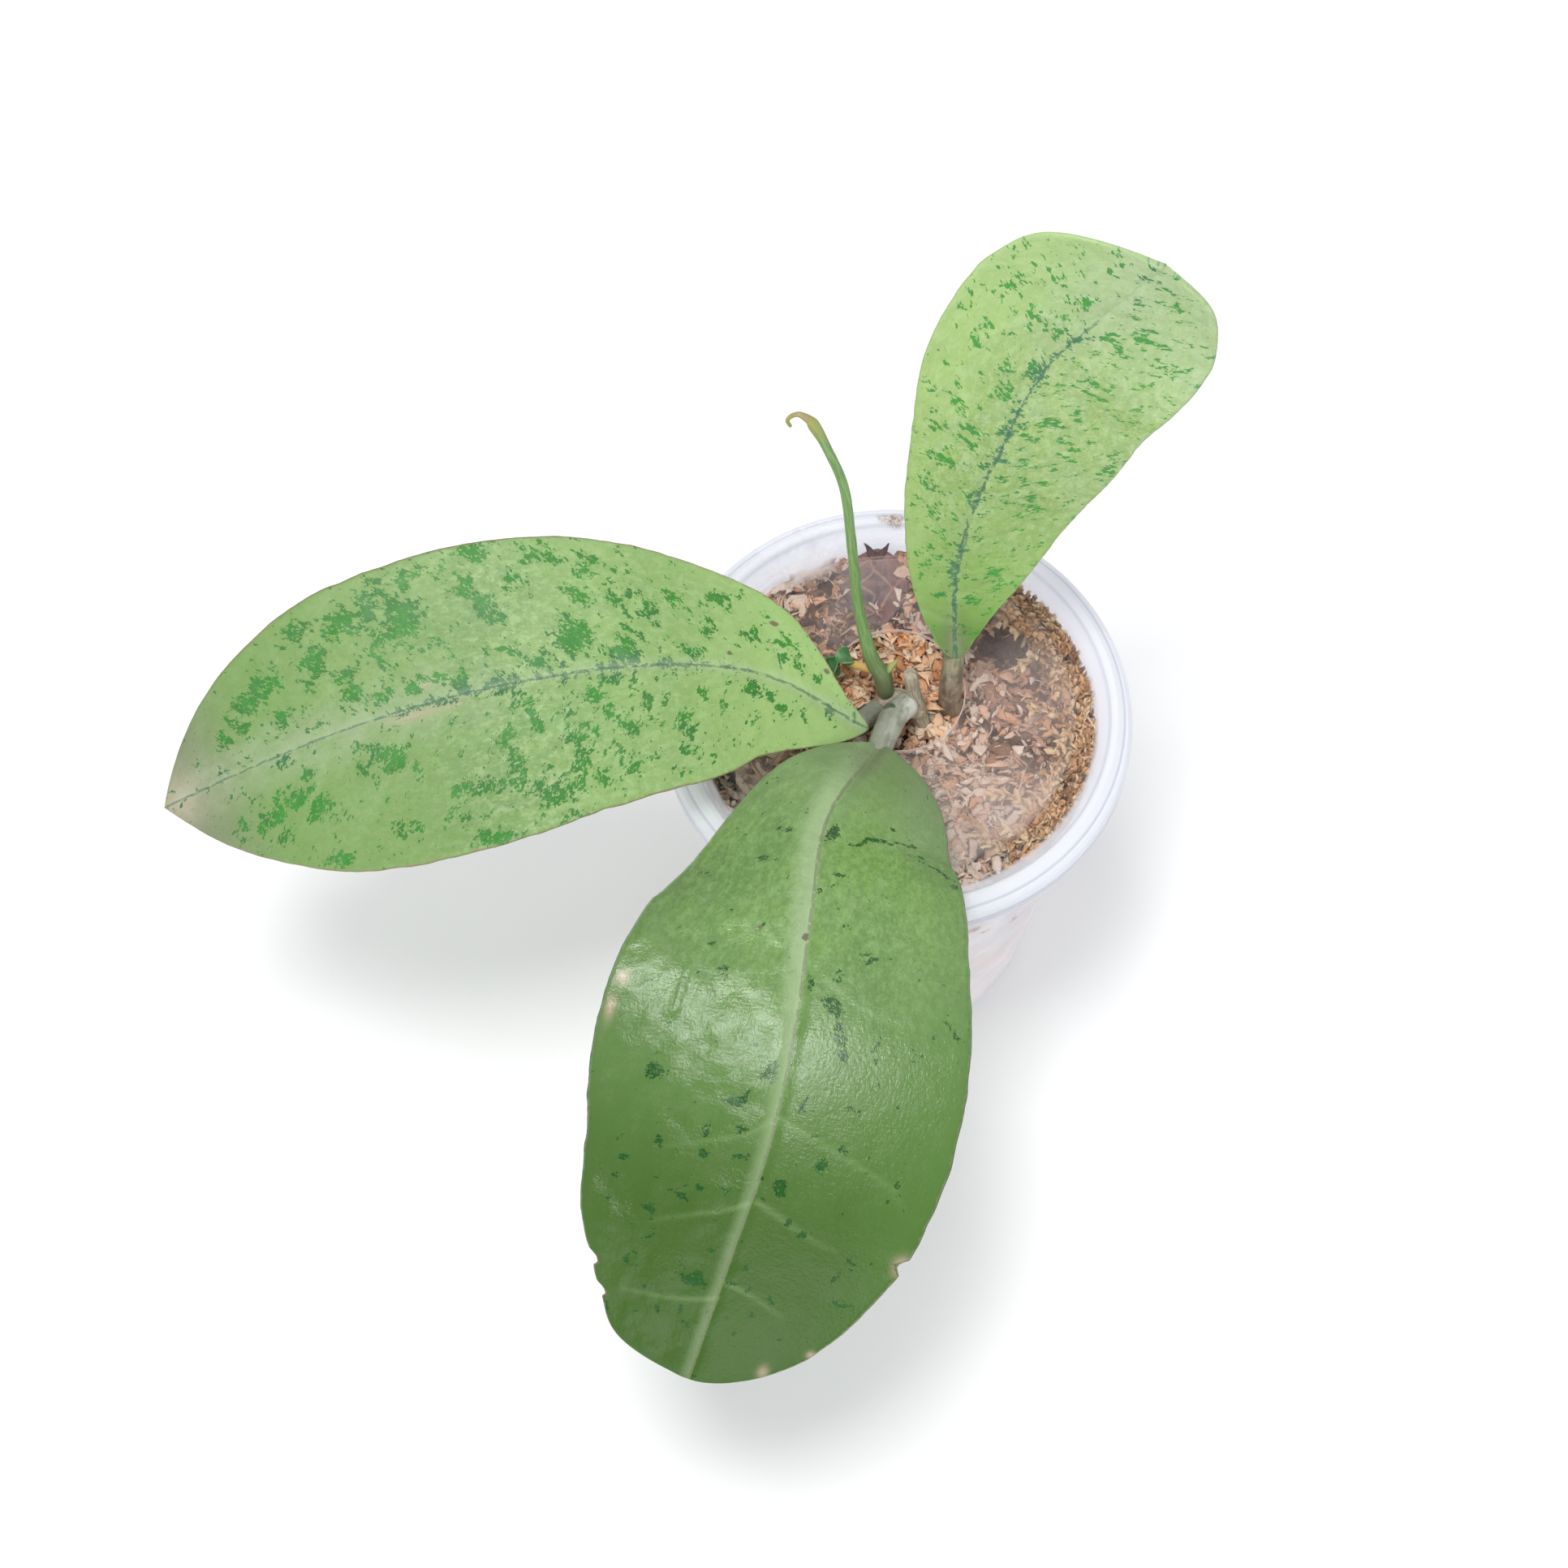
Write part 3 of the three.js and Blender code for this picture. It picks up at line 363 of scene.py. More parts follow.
def tube(path, radii, sides=20, steps=60, rough=0.0, seed=1):
    """A round bar along a smooth path with domed ends: points, faces, (length, girth, lump) at each point."""
    dome = np.linspace(0.05, 1, 5) * math.pi / 2
    t = np.concatenate([np.zeros(5), np.linspace(0, 1, steps + 1)[1:-1], np.ones(5)])
    grow = np.concatenate([np.sin(dome), np.ones(steps - 1), np.sin(dome[::-1])])
    push = np.concatenate([-np.cos(dome), np.zeros(steps - 1), np.cos(dome[::-1])])
    middle, radius = catmull(path, t), number_along(radii, t)
    along = unit(catmull(path, np.clip(t + 1e-3, 0, 1)) - catmull(path, np.clip(t - 1e-3, 0, 1)))
    middle = middle + along * (push * radius * 0.7)[:, None]
    across, way = [], np.array([1.0, 0.0, 0.0])
    for tangent in along:
        way = unit(way - tangent * (way @ tangent))
        across.append(way)
    across = np.array(across)
    other = np.cross(along, across)
    angle = np.linspace(0, 2 * math.pi, sides, endpoint=False)
    length = np.concatenate([[0], np.cumsum(np.linalg.norm(np.diff(middle, axis=0), axis=1))])
    girth = angle[None] * radius.mean()
    lump = bumps(length[:, None] * 0.5, np.cos(angle)[None] * 1.5 + 4, seed, 3)
    r = (radius * grow)[:, None] * (1 + rough * lump)
    points = (middle[:, None] + across[:, None] * (np.cos(angle)[None] * r)[..., None]
              + other[:, None] * (np.sin(angle)[None] * r)[..., None])
    rows = len(t)
    faces = net(rows, sides, closed=True).tolist()
    faces += [list(range(sides))[::-1], list(range((rows - 1) * sides, rows * sides))]
    place = np.stack(np.broadcast_arrays(length[:, None], girth, lump), -1)
    return points.reshape(-1, 3), faces, place.reshape(-1, 3)


def gathered(parts):
    """Several (points, faces, values) as one."""
    points, faces, values, first = [], [], [], 0
    for p, f, v in parts:
        points.append(p)
        values.append(v)
        faces += [[i + first for i in face] for face in f]
        first += len(p)
    return np.vstack(points), faces, np.vstack(values)


# ---------- materials ----------
def colour(code):
    """Linear colour of a hex code such as a0b1c2."""
    parts = [int(code[i:i + 2], 16) / 255 for i in (0, 2, 4)]
    return tuple(c / 12.92 if c <= 0.04045 else ((c + 0.055) / 1.055) ** 2.4 for c in parts) + (1.0,)


class Graph:
    """A material's nodes, built by short calls."""

    def __init__(self, name):
        self.material = bpy.data.materials.new(name)
        self.material.use_nodes = True
        self.tree = self.material.node_tree
        self.tree.nodes.clear()

    def fill(self, socket, value):
        """A link where the value is another node's socket, and else the number itself."""
        if isinstance(value, bpy.types.NodeSocket):
            self.tree.links.new(value, socket)
        else:
            socket.default_value = value

    def node(self, kind, inputs=None, **settings):
        node = self.tree.nodes.new(kind)
        for key, value in settings.items():
            setattr(node, key, value)
        for key, value in (inputs or {}).items():
            self.fill(node.inputs[key], value)
        return node

    def attribute(self, name):
        return self.node("ShaderNodeAttribute", attribute_name=name).outputs["Vector"]

    def split(self, vector):
        return self.node("ShaderNodeSeparateXYZ", {0: vector}).outputs

    def vector(self, x, y, z=0.0):
        return self.node("ShaderNodeCombineXYZ", {0: x, 1: y, 2: z}).outputs[0]

    def math(self, operation, a, b=0.0):
        return self.node("ShaderNodeMath", {0: a, 1: b}, operation=operation).outputs[0]

    def times(self, a, b):
        return self.math("MULTIPLY", a, b)

    def plus(self, a, b):
        return self.math("ADD", a, b)

    def minus(self, a, b):
        return self.math("SUBTRACT", a, b)

    def most(self, a, b):
        return self.math("MAXIMUM", a, b)

    def absolute(self, a):
        return self.math("ABSOLUTE", a)

    def distance(self, where, place):
        return self.node("ShaderNodeVectorMath", {0: where, 1: place}, operation="DISTANCE").outputs["Value"]

    def mix(self, factor, a, b):
        node = self.node("ShaderNodeMix", {0: factor}, data_type="RGBA")
        for number, value in ((6, a), (7, b)):
            self.fill(node.inputs[number], colour(value) if isinstance(value, str) else value)
        return node.outputs[2]

    def coats(self, skin, layers):
        """The skin under coats of (tint, value, low, high, first, last): as the value goes from low to high,
        the tint's share goes from first to last."""
        for tint, value, low, high, first, last in layers:
            skin = self.mix(self.stretch(value, low, high, first, last), skin, tint)
        return skin

    def noise(self, vector, scale, detail=2.0, rough=0.5):
        values = {"Vector": vector, "Scale": scale, "Detail": detail, "Roughness": rough}
        return self.node("ShaderNodeTexNoise", values).outputs["Fac"]

    def stretch(self, value, low, high, to_low=0.0, to_high=1.0):
        values = {"Value": value, "From Min": low, "From Max": high, "To Min": to_low, "To Max": to_high}
        return self.node("ShaderNodeMapRange", values, interpolation_type="SMOOTHSTEP").outputs[0]

    def millimetres(self):
        place = self.node("ShaderNodeTexCoord").outputs["Object"]
        per_metre = (1 / MM, 1 / MM, 1 / MM)
        return self.node("ShaderNodeVectorMath", {0: place, 1: per_metre}, operation="MULTIPLY").outputs[0]

    def bump(self, height, depth):
        """Relief of that depth in millimetres where height goes from 0 to 1."""
        inputs = {"Height": height, "Distance": depth * MM, "Strength": 1.0}
        return self.node("ShaderNodeBump", inputs).outputs[0]

    def surface(self, base, roughness, normal=None, **uniform):
        inputs = {"Base Color": base, "Roughness": roughness}
        inputs.update({key.replace("_", " "): value for key, value in uniform.items()})
        if normal is not None:
            inputs["Normal"] = normal
        return self.node("ShaderNodeBsdfPrincipled", inputs).outputs[0]

    def done(self, shader):
        self.node("ShaderNodeOutputMaterial", {"Surface": shader})
        return self.material


def leaf_ground(g, look, place, a, b, mottle):
    """The leaf's greens, before its marks."""
    grain = g.noise(place, 1.3, 4, 0.68)
    cloudy = g.noise(place, 0.5, 5, 0.7)
    cells = g.node("ShaderNodeTexVoronoi", {"Vector": place, "Scale": 0.75}, feature="DISTANCE_TO_EDGE")
    skin = g.mix(g.stretch(g.noise(place, 0.035, 2), 0.35, 0.68), look["light"], look["deep"])
    skin = g.coats(skin, [
        (look["cool"], mottle, 0.42, 0.66, 0, look["mottle"]),
        (look["sunny"], g.noise(place, 0.09, 4, 0.62), 0.5, 0.7, 0, 0.65),
        (look["grain"], grain, 0.36, 0.56, 0.34, 0),
        (look["pale"], grain, 0.54, 0.72, 0, 0.3),
        (look["pale"], cells.outputs["Distance"], 0.0, 0.16, 0.16, 0),
        (look["pale"], cloudy, 0.5, 0.62, 0, look["cloudy"]),
        (look["grain"], cloudy, 0.5, 0.4, 0, look["cloudy"]),
    ])
    ways = {"a": a, "b": b}
    drift = [(tint, ways[way], low, high, 0, share) for way, low, high, share, tint in look["drift"]]
    return g.coats(skin, drift)


def leaf_flecks(g, look, skin, place, b, edge):
    """Ragged blotches where the leaf is marked, with pinholes, and a dust of specks round them."""
    slant, across, dense = g.split(g.attribute("fleck"))
    way = g.vector(slant, across)
    shaken = g.node("ShaderNodeTexNoise", {"Vector": way, "Scale": 1.6, "Detail": 3.0}).outputs["Color"]
    bent = g.node("ShaderNodeVectorMath", {0: way, 1: shaken}, operation="ADD").outputs[0]
    cell = g.node("ShaderNodeTexVoronoi", {"Vector": bent, "Scale": look["cells"]})
    small = g.node("ShaderNodeTexVoronoi", {"Vector": bent, "Scale": look["cells"] * 1.9})
    small_chance, pin, _ = g.split(small.outputs["Color"])
    crumbs = g.plus(g.times(g.split(cell.outputs["Color"])[0], 0.5), g.times(small_chance, 0.5))
    ragged = g.noise(cell.outputs["Position"], look["scale"], 6, 0.7)
    tear = g.plus(g.times(ragged, look["torn"]), g.times(crumbs, look["crumbs"]))
    amount = g.plus(g.minus(tear, (look["torn"] + look["crumbs"]) / 2), g.times(dense, look["gather"]))
    pinholes = g.stretch(pin, 0.84, 0.85, 1, g.stretch(dense, 1.2, 1.7, 0.1, 0.7))
    blotch = g.times(g.stretch(amount, look["level"], look["level"] + 0.03), pinholes)
    patchy = g.stretch(g.noise(place, 0.06, 3), 0.35, 0.65, 0.05, -0.02)
    dust = g.minus(g.plus(g.noise(way, 1.5, 5, 0.72), g.times(dense, 0.06)), patchy)
    cover = g.most(blotch, g.stretch(dust, look["dust"], look["dust"] + 0.02))
    cover = g.times(cover, g.stretch(edge, -0.4, 0.4, 0.35, 1))
    ink = g.mix(g.stretch(g.noise(place, 0.11, 2), 0.35, 0.65), look["fleck"], look["fleck_bright"])
    ink = g.coats(ink, [
        (look["fleck_bright"], dense, 0.5, 1.3, 0, 0.8),
        (look["fleck_dark"], g.noise(place, 1.7, 3, 0.6), 0.4, 0.62, 0.35, 0),
        (look["fleck_dark"], g.absolute(b), 1.0, 4.0, 0.75, 0),
    ])
    return cover, g.mix(g.times(cover, look["strength"]), skin, ink)


def leaf_midrib(g, look, skin, place, a, b, length):
    """The midrib: a pale band with a broken dark line in it, both narrower towards the tip."""
    along = g.stretch(a, 0, length)
    band = g.math("DIVIDE", b, g.stretch(along, 0, 1, *look["band"]))
    # flank: the band on the b < 0 side of the rib, ending within band_end on the other; with a small
    # band_end, as on the front leaf, it is partly a painted highlight
    flank = g.times(g.stretch(band, -1.0, -0.1), g.stretch(band, 0.0, look["band_end"], 1, 0))
    fade = g.stretch(along, 0.25, 1.0, look["band_share"], look["band_share"] * 0.35)
    fade = g.times(fade, g.stretch(a, 4, 24, look["band_foot"], 1))
    skin = g.mix(g.times(flank, fade), skin, look["band_colour"])
    wander = g.plus(b, g.stretch(g.noise(place, 0.35, 3, 0.6), 0.2, 0.8, -look["wander"], look["wander"]))
    line = g.math("DIVIDE", g.absolute(wander), g.stretch(along, 0, 1, *look["line"]))
    gaps = g.noise(g.vector(g.times(a, 0.5), b), 1.1, 5, 0.7)
    share = g.stretch(a, look["line_to"], look["line_to"] + 10, look["line_share"], 0.15)
    share = g.times(g.stretch(gaps, look["broken"], look["broken"] + 0.05), share)
    return g.mix(g.times(g.stretch(line, 0.55, 1.0, 1, 0), share), skin, look["line_colour"])


def leaf_material(name, look, length):
    """A leaf's skin, from its greens to its marks, margin and underside."""
    g = Graph(name)
    place = g.attribute("place")
    a, b, edge = g.split(place)
    vein, brown, yellow = g.split(g.attribute("paint"))
    mottle = g.noise(place, 0.2, 5, 0.66)
    skin = leaf_ground(g, look, place, a, b, mottle)
    skin = g.mix(g.times(vein, look["vein_share"]), skin, look["vein"])
    skin = g.mix(yellow, skin, look["yellow"])
    off_rib = g.absolute(b)
    bloom = g.times(g.stretch(off_rib, 10, 1), g.stretch(a, look["bloom_from"], look["bloom_from"] + 50))
    bloom = g.times(g.times(bloom, g.stretch(mottle, 0.35, 0.65, 0.4, 1)), look["bloom_share"])
    skin = g.mix(bloom, skin, look["bloom"])
    foot = g.times(g.stretch(off_rib, 4.0, 0.8), g.stretch(a, 18, 3, 0, look["foot_share"]))
    skin = g.mix(foot, skin, look["foot"])
    cover, skin = leaf_flecks(g, look, skin, place, b, edge)
    skin = leaf_midrib(g, look, skin, place, a, b, length)
    # brown spots, the thin dry margin and the paler underside
    spot = g.plus(brown, g.times(g.minus(g.noise(place, 1.1, 4, 0.65), 0.5), 0.9))
    margin = g.plus(g.absolute(edge), g.stretch(g.noise(place, 0.9, 3), 0.3, 0.7, -0.22, 0.22))
    skin = g.coats(skin, [
        ("65503f", spot, 0.42, 0.62, 0, 0.85),
        (look["margin"], margin, 0.1, 0.55, look["margin_share"], 0),
        (look["under"], edge, -0.3, 0.0, 0.45, 0),
    ])
    relief = g.plus(g.times(g.noise(place, 1.1, 4, 0.6), 0.5), g.times(mottle, look["wrinkle"]))
    creases = g.noise(g.vector(g.times(a, 1.5), g.times(b, 0.4)), 1.0, 4, 0.6)
    relief = g.plus(relief, g.plus(g.times(creases, look["creases"]), g.times(cover, -0.06)))
    rough = g.plus(g.stretch(mottle, 0.35, 0.7, *look["rough"]), g.times(cover, -0.04))
    shine = look["shine"]
    if "shine_end" in look:
        shine = g.stretch(a, 60, 100, look["shine"], look["shine_end"])
    return g.done(g.surface(skin, rough, g.bump(relief, 0.22), Specular_IOR_Level=shine))


def petiole_material(name, dull, pale, green, speck):
    g = Graph(name)
    length, girth, _ = g.split(g.attribute("place"))
    where = g.millimetres()
    side, depth, _ = g.split(where)
    streaks = g.noise(g.vector(g.times(length, 0.3), g.times(girth, 1.2)), 1.0, 4, 0.6)
    patch = g.noise(where, 0.35, 4, 0.6)
    grain = g.noise(where, 2.6, 3, 0.7)
    skin = g.mix(g.stretch(g.plus(g.times(streaks, 0.4), g.times(patch, 0.6)), 0.38, 0.6), dull, pale)
    skin = g.coats(skin, [(green, patch, 0.5, 0.7, 0, 0.4), (speck, grain, 0.54, 0.7, 0, 0.22)])
    for scar, size in SCARS:
        far = g.plus(g.distance(g.vector(side, depth), scar), g.stretch(patch, 0.3, 0.7, -0.3, 0.3))
        skin = g.coats(skin, [("34483a", far, size, size + 0.3, 0.85, 0)])
    # near the cup's axis a whitish painted highlight on the right and dull painted shade on the left, and
    # greener farther on, under the blade
    lit_side = g.plus(side, g.stretch(streaks, 0.3, 0.7, -0.6, 0.6))
    near_stem = g.stretch(side, 6, 7, 1, 0)
    skin = g.mix(g.times(g.stretch(lit_side, 0.4, 2.6, 0, 0.7), near_stem), skin, "dcdcd4")
    skin = g.mix(g.times(g.stretch(lit_side, -0.8, -2.6, 0, 0.55), near_stem), skin, "6e7060")
    skin = g.coats(skin, [("8fae6c", length, 12, 30, 0, 0.85)])
    relief = g.plus(g.times(streaks, 0.5), g.plus(grain, g.noise(where, 0.9, 3)))
    return g.done(g.surface(skin, g.stretch(patch, 0.3, 0.7, 0.45, 0.62), g.bump(relief, 0.16)))


def bark_material():
    g = Graph("old_stem_bark")
    length, girth, _ = g.split(g.attribute("place"))
    where = g.millimetres()
    streaks = g.noise(g.vector(g.times(length, 0.3), g.times(girth, 1.6)), 1.2, 5, 0.65)
    patch = g.noise(where, 0.4, 4, 0.6)
    skin = g.mix(g.stretch(streaks, 0.3, 0.7), "8a7c68", "c9bea8")
    skin = g.coats(skin, [
        ("9a9c84", patch, 0.45, 0.68, 0, 0.7),
        ("5e4b39", g.noise(where, 1.8, 4, 0.7), 0.6, 0.68, 0, 0.6),
    ])
    return g.done(g.surface(skin, g.stretch(patch, 0.3, 0.7, 0.6, 0.8), g.bump(g.plus(streaks, patch), 0.3)))


def shoot_material():
    """Green, duller at its foot and yellower at its hooked end, with a yellow bract."""
    g = Graph("shoot_skin")
    where = g.millimetres()
    side, _, height = g.split(where)
    length, girth, _ = g.split(g.attribute("place"))
    streaks = g.noise(g.vector(g.times(length, 0.12), g.times(girth, 1.5)), 1.3, 3, 0.6)
    skin = g.mix(g.stretch(streaks, 0.3, 0.7), "608446", "86a66c")
    skin = g.coats(skin, [("5a6242", height, 99, 112, 0.95, 0)])
    on_bract = g.times(g.stretch(side, -2.9, -2.2), g.stretch(height, 102.6, 103.6))
    skin = g.mix(g.times(on_bract, 0.8), skin, "a9a860")
    skin = g.coats(skin, [
        ("a5a05a", height, 165, 171, 0, 0.75),
        ("9a8460", height, 171.5, 173, 0, 0.6),
        ("3f6226", g.noise(where, 1.5, 4, 0.7), 0.6, 0.7, 0, 0.35),
    ])
    relief = g.plus(streaks, g.noise(where, 1.4, 3))
    return g.done(g.surface(skin, g.stretch(streaks, 0.3, 0.7, 0.32, 0.46), g.bump(relief, 0.08)))


def young_material():
    """Dark green with a paler rim, on a yellow stalk."""
    g = Graph("young_leaf_skin")
    where = g.millimetres()
    side = g.split(where)[0]
    patch = g.noise(where, 0.7, 4, 0.6)
    rim, _, on_leaf = g.split(g.attribute("place"))
    skin = g.mix(g.stretch(patch, 0.3, 0.7), "2c5a30", "4c8044")
    skin = g.coats(skin, [("7c9c62", rim, 0.8, 1.0, 0, 0.8)])
    skin = g.mix(g.times(g.minus(1.0, on_leaf), g.stretch(side, -10.6, -9.4, 0.3, 1)), skin, "bc9c58")
    relief = g.noise(where, 1.5, 3)
    return g.done(g.surface(skin, g.stretch(patch, 0.3, 0.7, 0.3, 0.45), g.bump(relief, 0.1)))


def husk_material(name, dark, tan, light):
    """Dry husk: each flake has its own tone, with ribs along it."""
    g = Graph(name)
    tone, along, across = g.split(g.attribute("place"))
    where = g.millimetres()
    fibre = g.noise(g.vector(g.times(along, 2.2), g.times(across, 7), g.times(tone, 40)), 1.0, 4, 0.6)
    patch = g.noise(where, 0.5, 4, 0.65)
    skin = g.mix(g.stretch(tone, 0.0, 0.55), dark, tan)
    skin = g.coats(skin, [
        (light, tone, 0.5, 1.0, 0, 1),
        (dark, fibre, 0.55, 0.8, 0, 0.4),
        ("c07c46", patch, 0.5, 0.75, 0, 0.35),
        (light, g.noise(where, 1.9, 3, 0.6), 0.6, 0.75, 0, 0.35),
    ])
    relief = g.plus(fibre, g.noise(where, 2.2, 3))
    return g.done(g.surface(skin, g.stretch(patch, 0.3, 0.7, 0.75, 0.92), g.bump(relief, 0.3)))


def bed_material():
    g = Graph("medium_bed")
    where = g.millimetres()
    lumps = g.noise(where, 0.22, 5, 0.65)
    chips = g.node("ShaderNodeTexVoronoi", {"Vector": where, "Scale": 0.24, "Randomness": 1.0})
    tone = g.split(chips.outputs["Color"])[0]
    skin = g.mix(g.stretch(tone, 0.1, 0.9), "46301f", "a87a54")
    skin = g.coats(skin, [
        ("2a1c14", lumps, 0.42, 0.62, 0, 0.75),
        ("b88e62", g.noise(where, 1.2, 4, 0.6), 0.58, 0.7, 0, 0.5),
    ])
    relief = g.plus(lumps, g.times(tone, 0.4))
    return g.done(g.surface(skin, g.stretch(lumps, 0.3, 0.7, 0.8, 0.95), g.bump(relief, 0.9)))


def dry_leaf_material():
    """Brown-purple with pale veins, redder towards the tip and dark on the spikes."""
    g = Graph("dead_leaf_skin")
    place = g.attribute("place")
    a = g.split(place)[0]
    vein = g.split(g.attribute("paint"))[0]
    patch = g.noise(place, 0.22, 4, 0.65)
    skin = g.mix(g.stretch(patch, 0.35, 0.65), "483c44", "8a6660")
    skin = g.coats(skin, [("946e5c", g.noise(place, 0.6, 5, 0.7), 0.5, 0.65, 0, 0.6)])
    skin = g.mix(g.times(vein, 0.85), skin, "c8a08c")
    skin = g.coats(skin, [
        ("8a5a48", a, 11, 15, 0, 0.45),
        ("5a3426", a, 19, 20, 0, 0.85),
        ("33202c", a, 22, 24, 0, 0.7),
    ])
    relief = g.plus(patch, g.noise(place, 1.4, 4, 0.6))
    return g.done(g.surface(skin, g.stretch(patch, 0.3, 0.7, 0.6, 0.85), g.bump(relief, 0.5)))


def clear_material(name, cover, tint, painted_glow):
    """Milky clear plastic: part of the light goes straight through; cover makes that share from the graph."""
    g = Graph(name)
    where = g.millimetres()
    cloud = g.noise(where, 0.06, 3, 0.55)
    fine = g.noise(where, 0.8, 4, 0.6)
    cover_share, stain, warm, shade = cover(g, where, cloud, fine)
    base = g.mix(warm, tint, "fff0ea")
    base = g.mix(stain, base, "a58a6c")
    # shade: on the lid painted shade in its grooves and at its seat, on the cup a faint grey mottle
    base = g.mix(shade, base, "8f97ac")
    relief = g.bump(g.noise(where, 0.35, 2), 0.05)
    # the emission is a painted glow: the plastic gives off faint white light of its own, though it is no lamp
    skin = g.surface(base, g.stretch(cloud, 0.3, 0.7, 0.12, 0.22), relief, IOR=1.49,
                     Emission_Color=(0.93, 0.94, 1.0, 1), Emission_Strength=painted_glow)
    glow = g.node("ShaderNodeBsdfTranslucent", {"Color": base}).outputs[0]
    body = g.node("ShaderNodeMixShader", {0: 0.5, 1: skin, 2: glow}).outputs[0]
    clear = g.node("ShaderNodeBsdfTransparent", {"Color": (0.97, 0.97, 0.985, 1)}).outputs[0]
    rim = g.node("ShaderNodeLayerWeight", {"Blend": 0.25}).outputs["Facing"]
    share = g.math("MINIMUM", g.plus(cover_share, g.times(g.math("POWER", rim, 2.5), 0.3)), 1.0)
    return g.done(g.node("ShaderNodeMixShader", {0: share, 1: clear, 2: body}).outputs[0])


def lid_cover(g, where, cloud, _):
    """Cover, stain, warmth and painted shade of the lid: hazy panel, clear ring, whiter bead with fine
    painted dark lines, and a painted glare.
    """
    x, y, z = g.split(where)
    flat = g.vector(x, y)
    r = g.node("ShaderNodeVectorMath", {0: flat}, operation="LENGTH").outputs["Value"]
    panel = g.stretch(g.noise(where, 0.09, 4, 0.6), 0.35, 0.65, 0.04, 0.13)
    panel = g.plus(panel, g.stretch(g.plus(y, g.times(cloud, 16)), 14, -24, 0, 0.1))
    inner = g.stretch(r, 36.2, 37.2, 1, 0)
    share = g.plus(g.times(panel, inner), g.times(g.minus(1.0, inner), 0.03))
    share = g.plus(share, g.stretch(r, 40.6, 42.0, 0, 0.45))
    share = g.plus(share, g.stretch(r, 43.4, 44.4, 0, 0.35))
    # the hole's cut edge is made almost opaque, a white line: partly the edge's own whiteness, partly a
    # painted highlight along it
    to_hole = g.distance(flat, (HOLE["x"], HOLE["y"], 0))
    share = g.most(share, g.stretch(to_hole, 14.15, 14.45, 0.75, 0))
    scratches = g.noise(g.vector(g.times(r, 3), g.math("ARCTAN2", y, x)), 0.8, 3, 0.6)
    share = g.plus(share, g.stretch(scratches, 0.62, 0.75, 0, 0.08))
    # painted glare: round GLARE's place the lid is made less clear, so its white body shows as a bright patch
    glare = g.stretch(g.distance(flat, GLARE["place"]), GLARE["faint"], GLARE["full"])
    glare = g.times(glare, g.stretch(g.noise(where, 0.1, 3, 0.6), 0.4, 0.6))
    share = g.plus(share, g.times(glare, 0.4))
    rust = 0.0
    for place, solid, end, strength in RUST:
        rust = g.most(rust, g.stretch(g.distance(where, place), solid, end, strength, 0))
    rust = g.times(rust, g.stretch(g.noise(where, 1.3, 5, 0.75), 0.36, 0.6))
    # painted shade: dark lines in the bead's groove, in the skirt's grooves and at the seat on the cup's lip,
    # and a faint grey on the bead's inner slope
    groove = g.stretch(g.absolute(g.minus(r, 47.0)), 0.05, 0.35, 0.3, 0)
    bands = g.math("SINE", g.times(g.minus(z, SKIRT["first"] + 0.06), 2 * math.pi / SKIRT["step"]))
    bands = g.times(g.stretch(bands, 0.1, 0.9, 0.06, 0.5), g.stretch(z, 92.4, 92.7, 1, 0))
    shade = g.most(g.times(groove, g.stretch(z, 93.2, 93.6)), g.times(bands, g.stretch(r, 47.6, 48.0)))
    seat = g.stretch(g.absolute(g.minus(r, 43.8)), 0.1, 0.5, 0.2, 0)
    shade = g.plus(g.most(shade, seat), g.stretch(r, 41.0, 43.0, 0, 0.03))
    return share, rust, g.times(inner, g.stretch(cloud, 0.3, 0.6, 0.4, 1)), shade


def cup_cover(g, where, cloud, fine):
    """Cover, stain, warmth and a faint grey mottle of the cup: a milky wall, clearer above the medium, with
    some dirt.
    """
    height = g.split(where)[2]
    share = g.stretch(g.noise(where, 0.05, 3, 0.6), 0.3, 0.7, 0.66, 0.88)
    share = g.times(share, g.stretch(height, 85, 90, 1, 0.45))
    dirt = g.stretch(g.noise(where, 0.16, 5, 0.7), 0.64, 0.7, 0, 0.6)
    for spot, size in DIRT:
        near = g.stretch(g.distance(where, spot), size * 0.5, size, 0.7, 0)
        dirt = g.most(dirt, g.times(near, g.stretch(fine, 0.35, 0.5)))
    return share, dirt, g.stretch(cloud, 0.4, 0.7, 0, 0.3), g.stretch(fine, 0.62, 0.75, 0, 0.12)


# ---------- leaves ----------
def blade_at(leaf, u, v):
    """A blade's middle sheet: u from foot to tip, v from -1 (right edge) to 1 (left edge)."""
    u, v = np.broadcast_arrays(u, v)
    s = (1 - np.cos(math.pi * u)) / 2
    ends = (np.clip(s + 1e-4, 0, 1), np.clip(s - 1e-4, 0, 1))
    along = unit(catmull(leaf["rib"], ends[0]) - catmull(leaf["rib"], ends[1]))
    left = unit(np.cross(catmull(leaf["face"], s), along))
    up = np.cross(along, left)
    hump = np.sin(math.pi * u)
    on_left = v > 0
    width = np.where(on_left, number_along(leaf["half"][0], u), number_along(leaf["half"][1], u)) * hump
    cup = np.where(on_left, leaf["cup"][0], leaf["cup"][1])
    height, number, phase = (np.where(on_left, leaf["wave"][0][k], leaf["wave"][1][k]) for k in range(3))
    lift = cup * width + height * np.sin(2 * math.pi * (number * s + phase)) * hump
    return catmull(leaf["rib"], s), left, up, width, lift, s


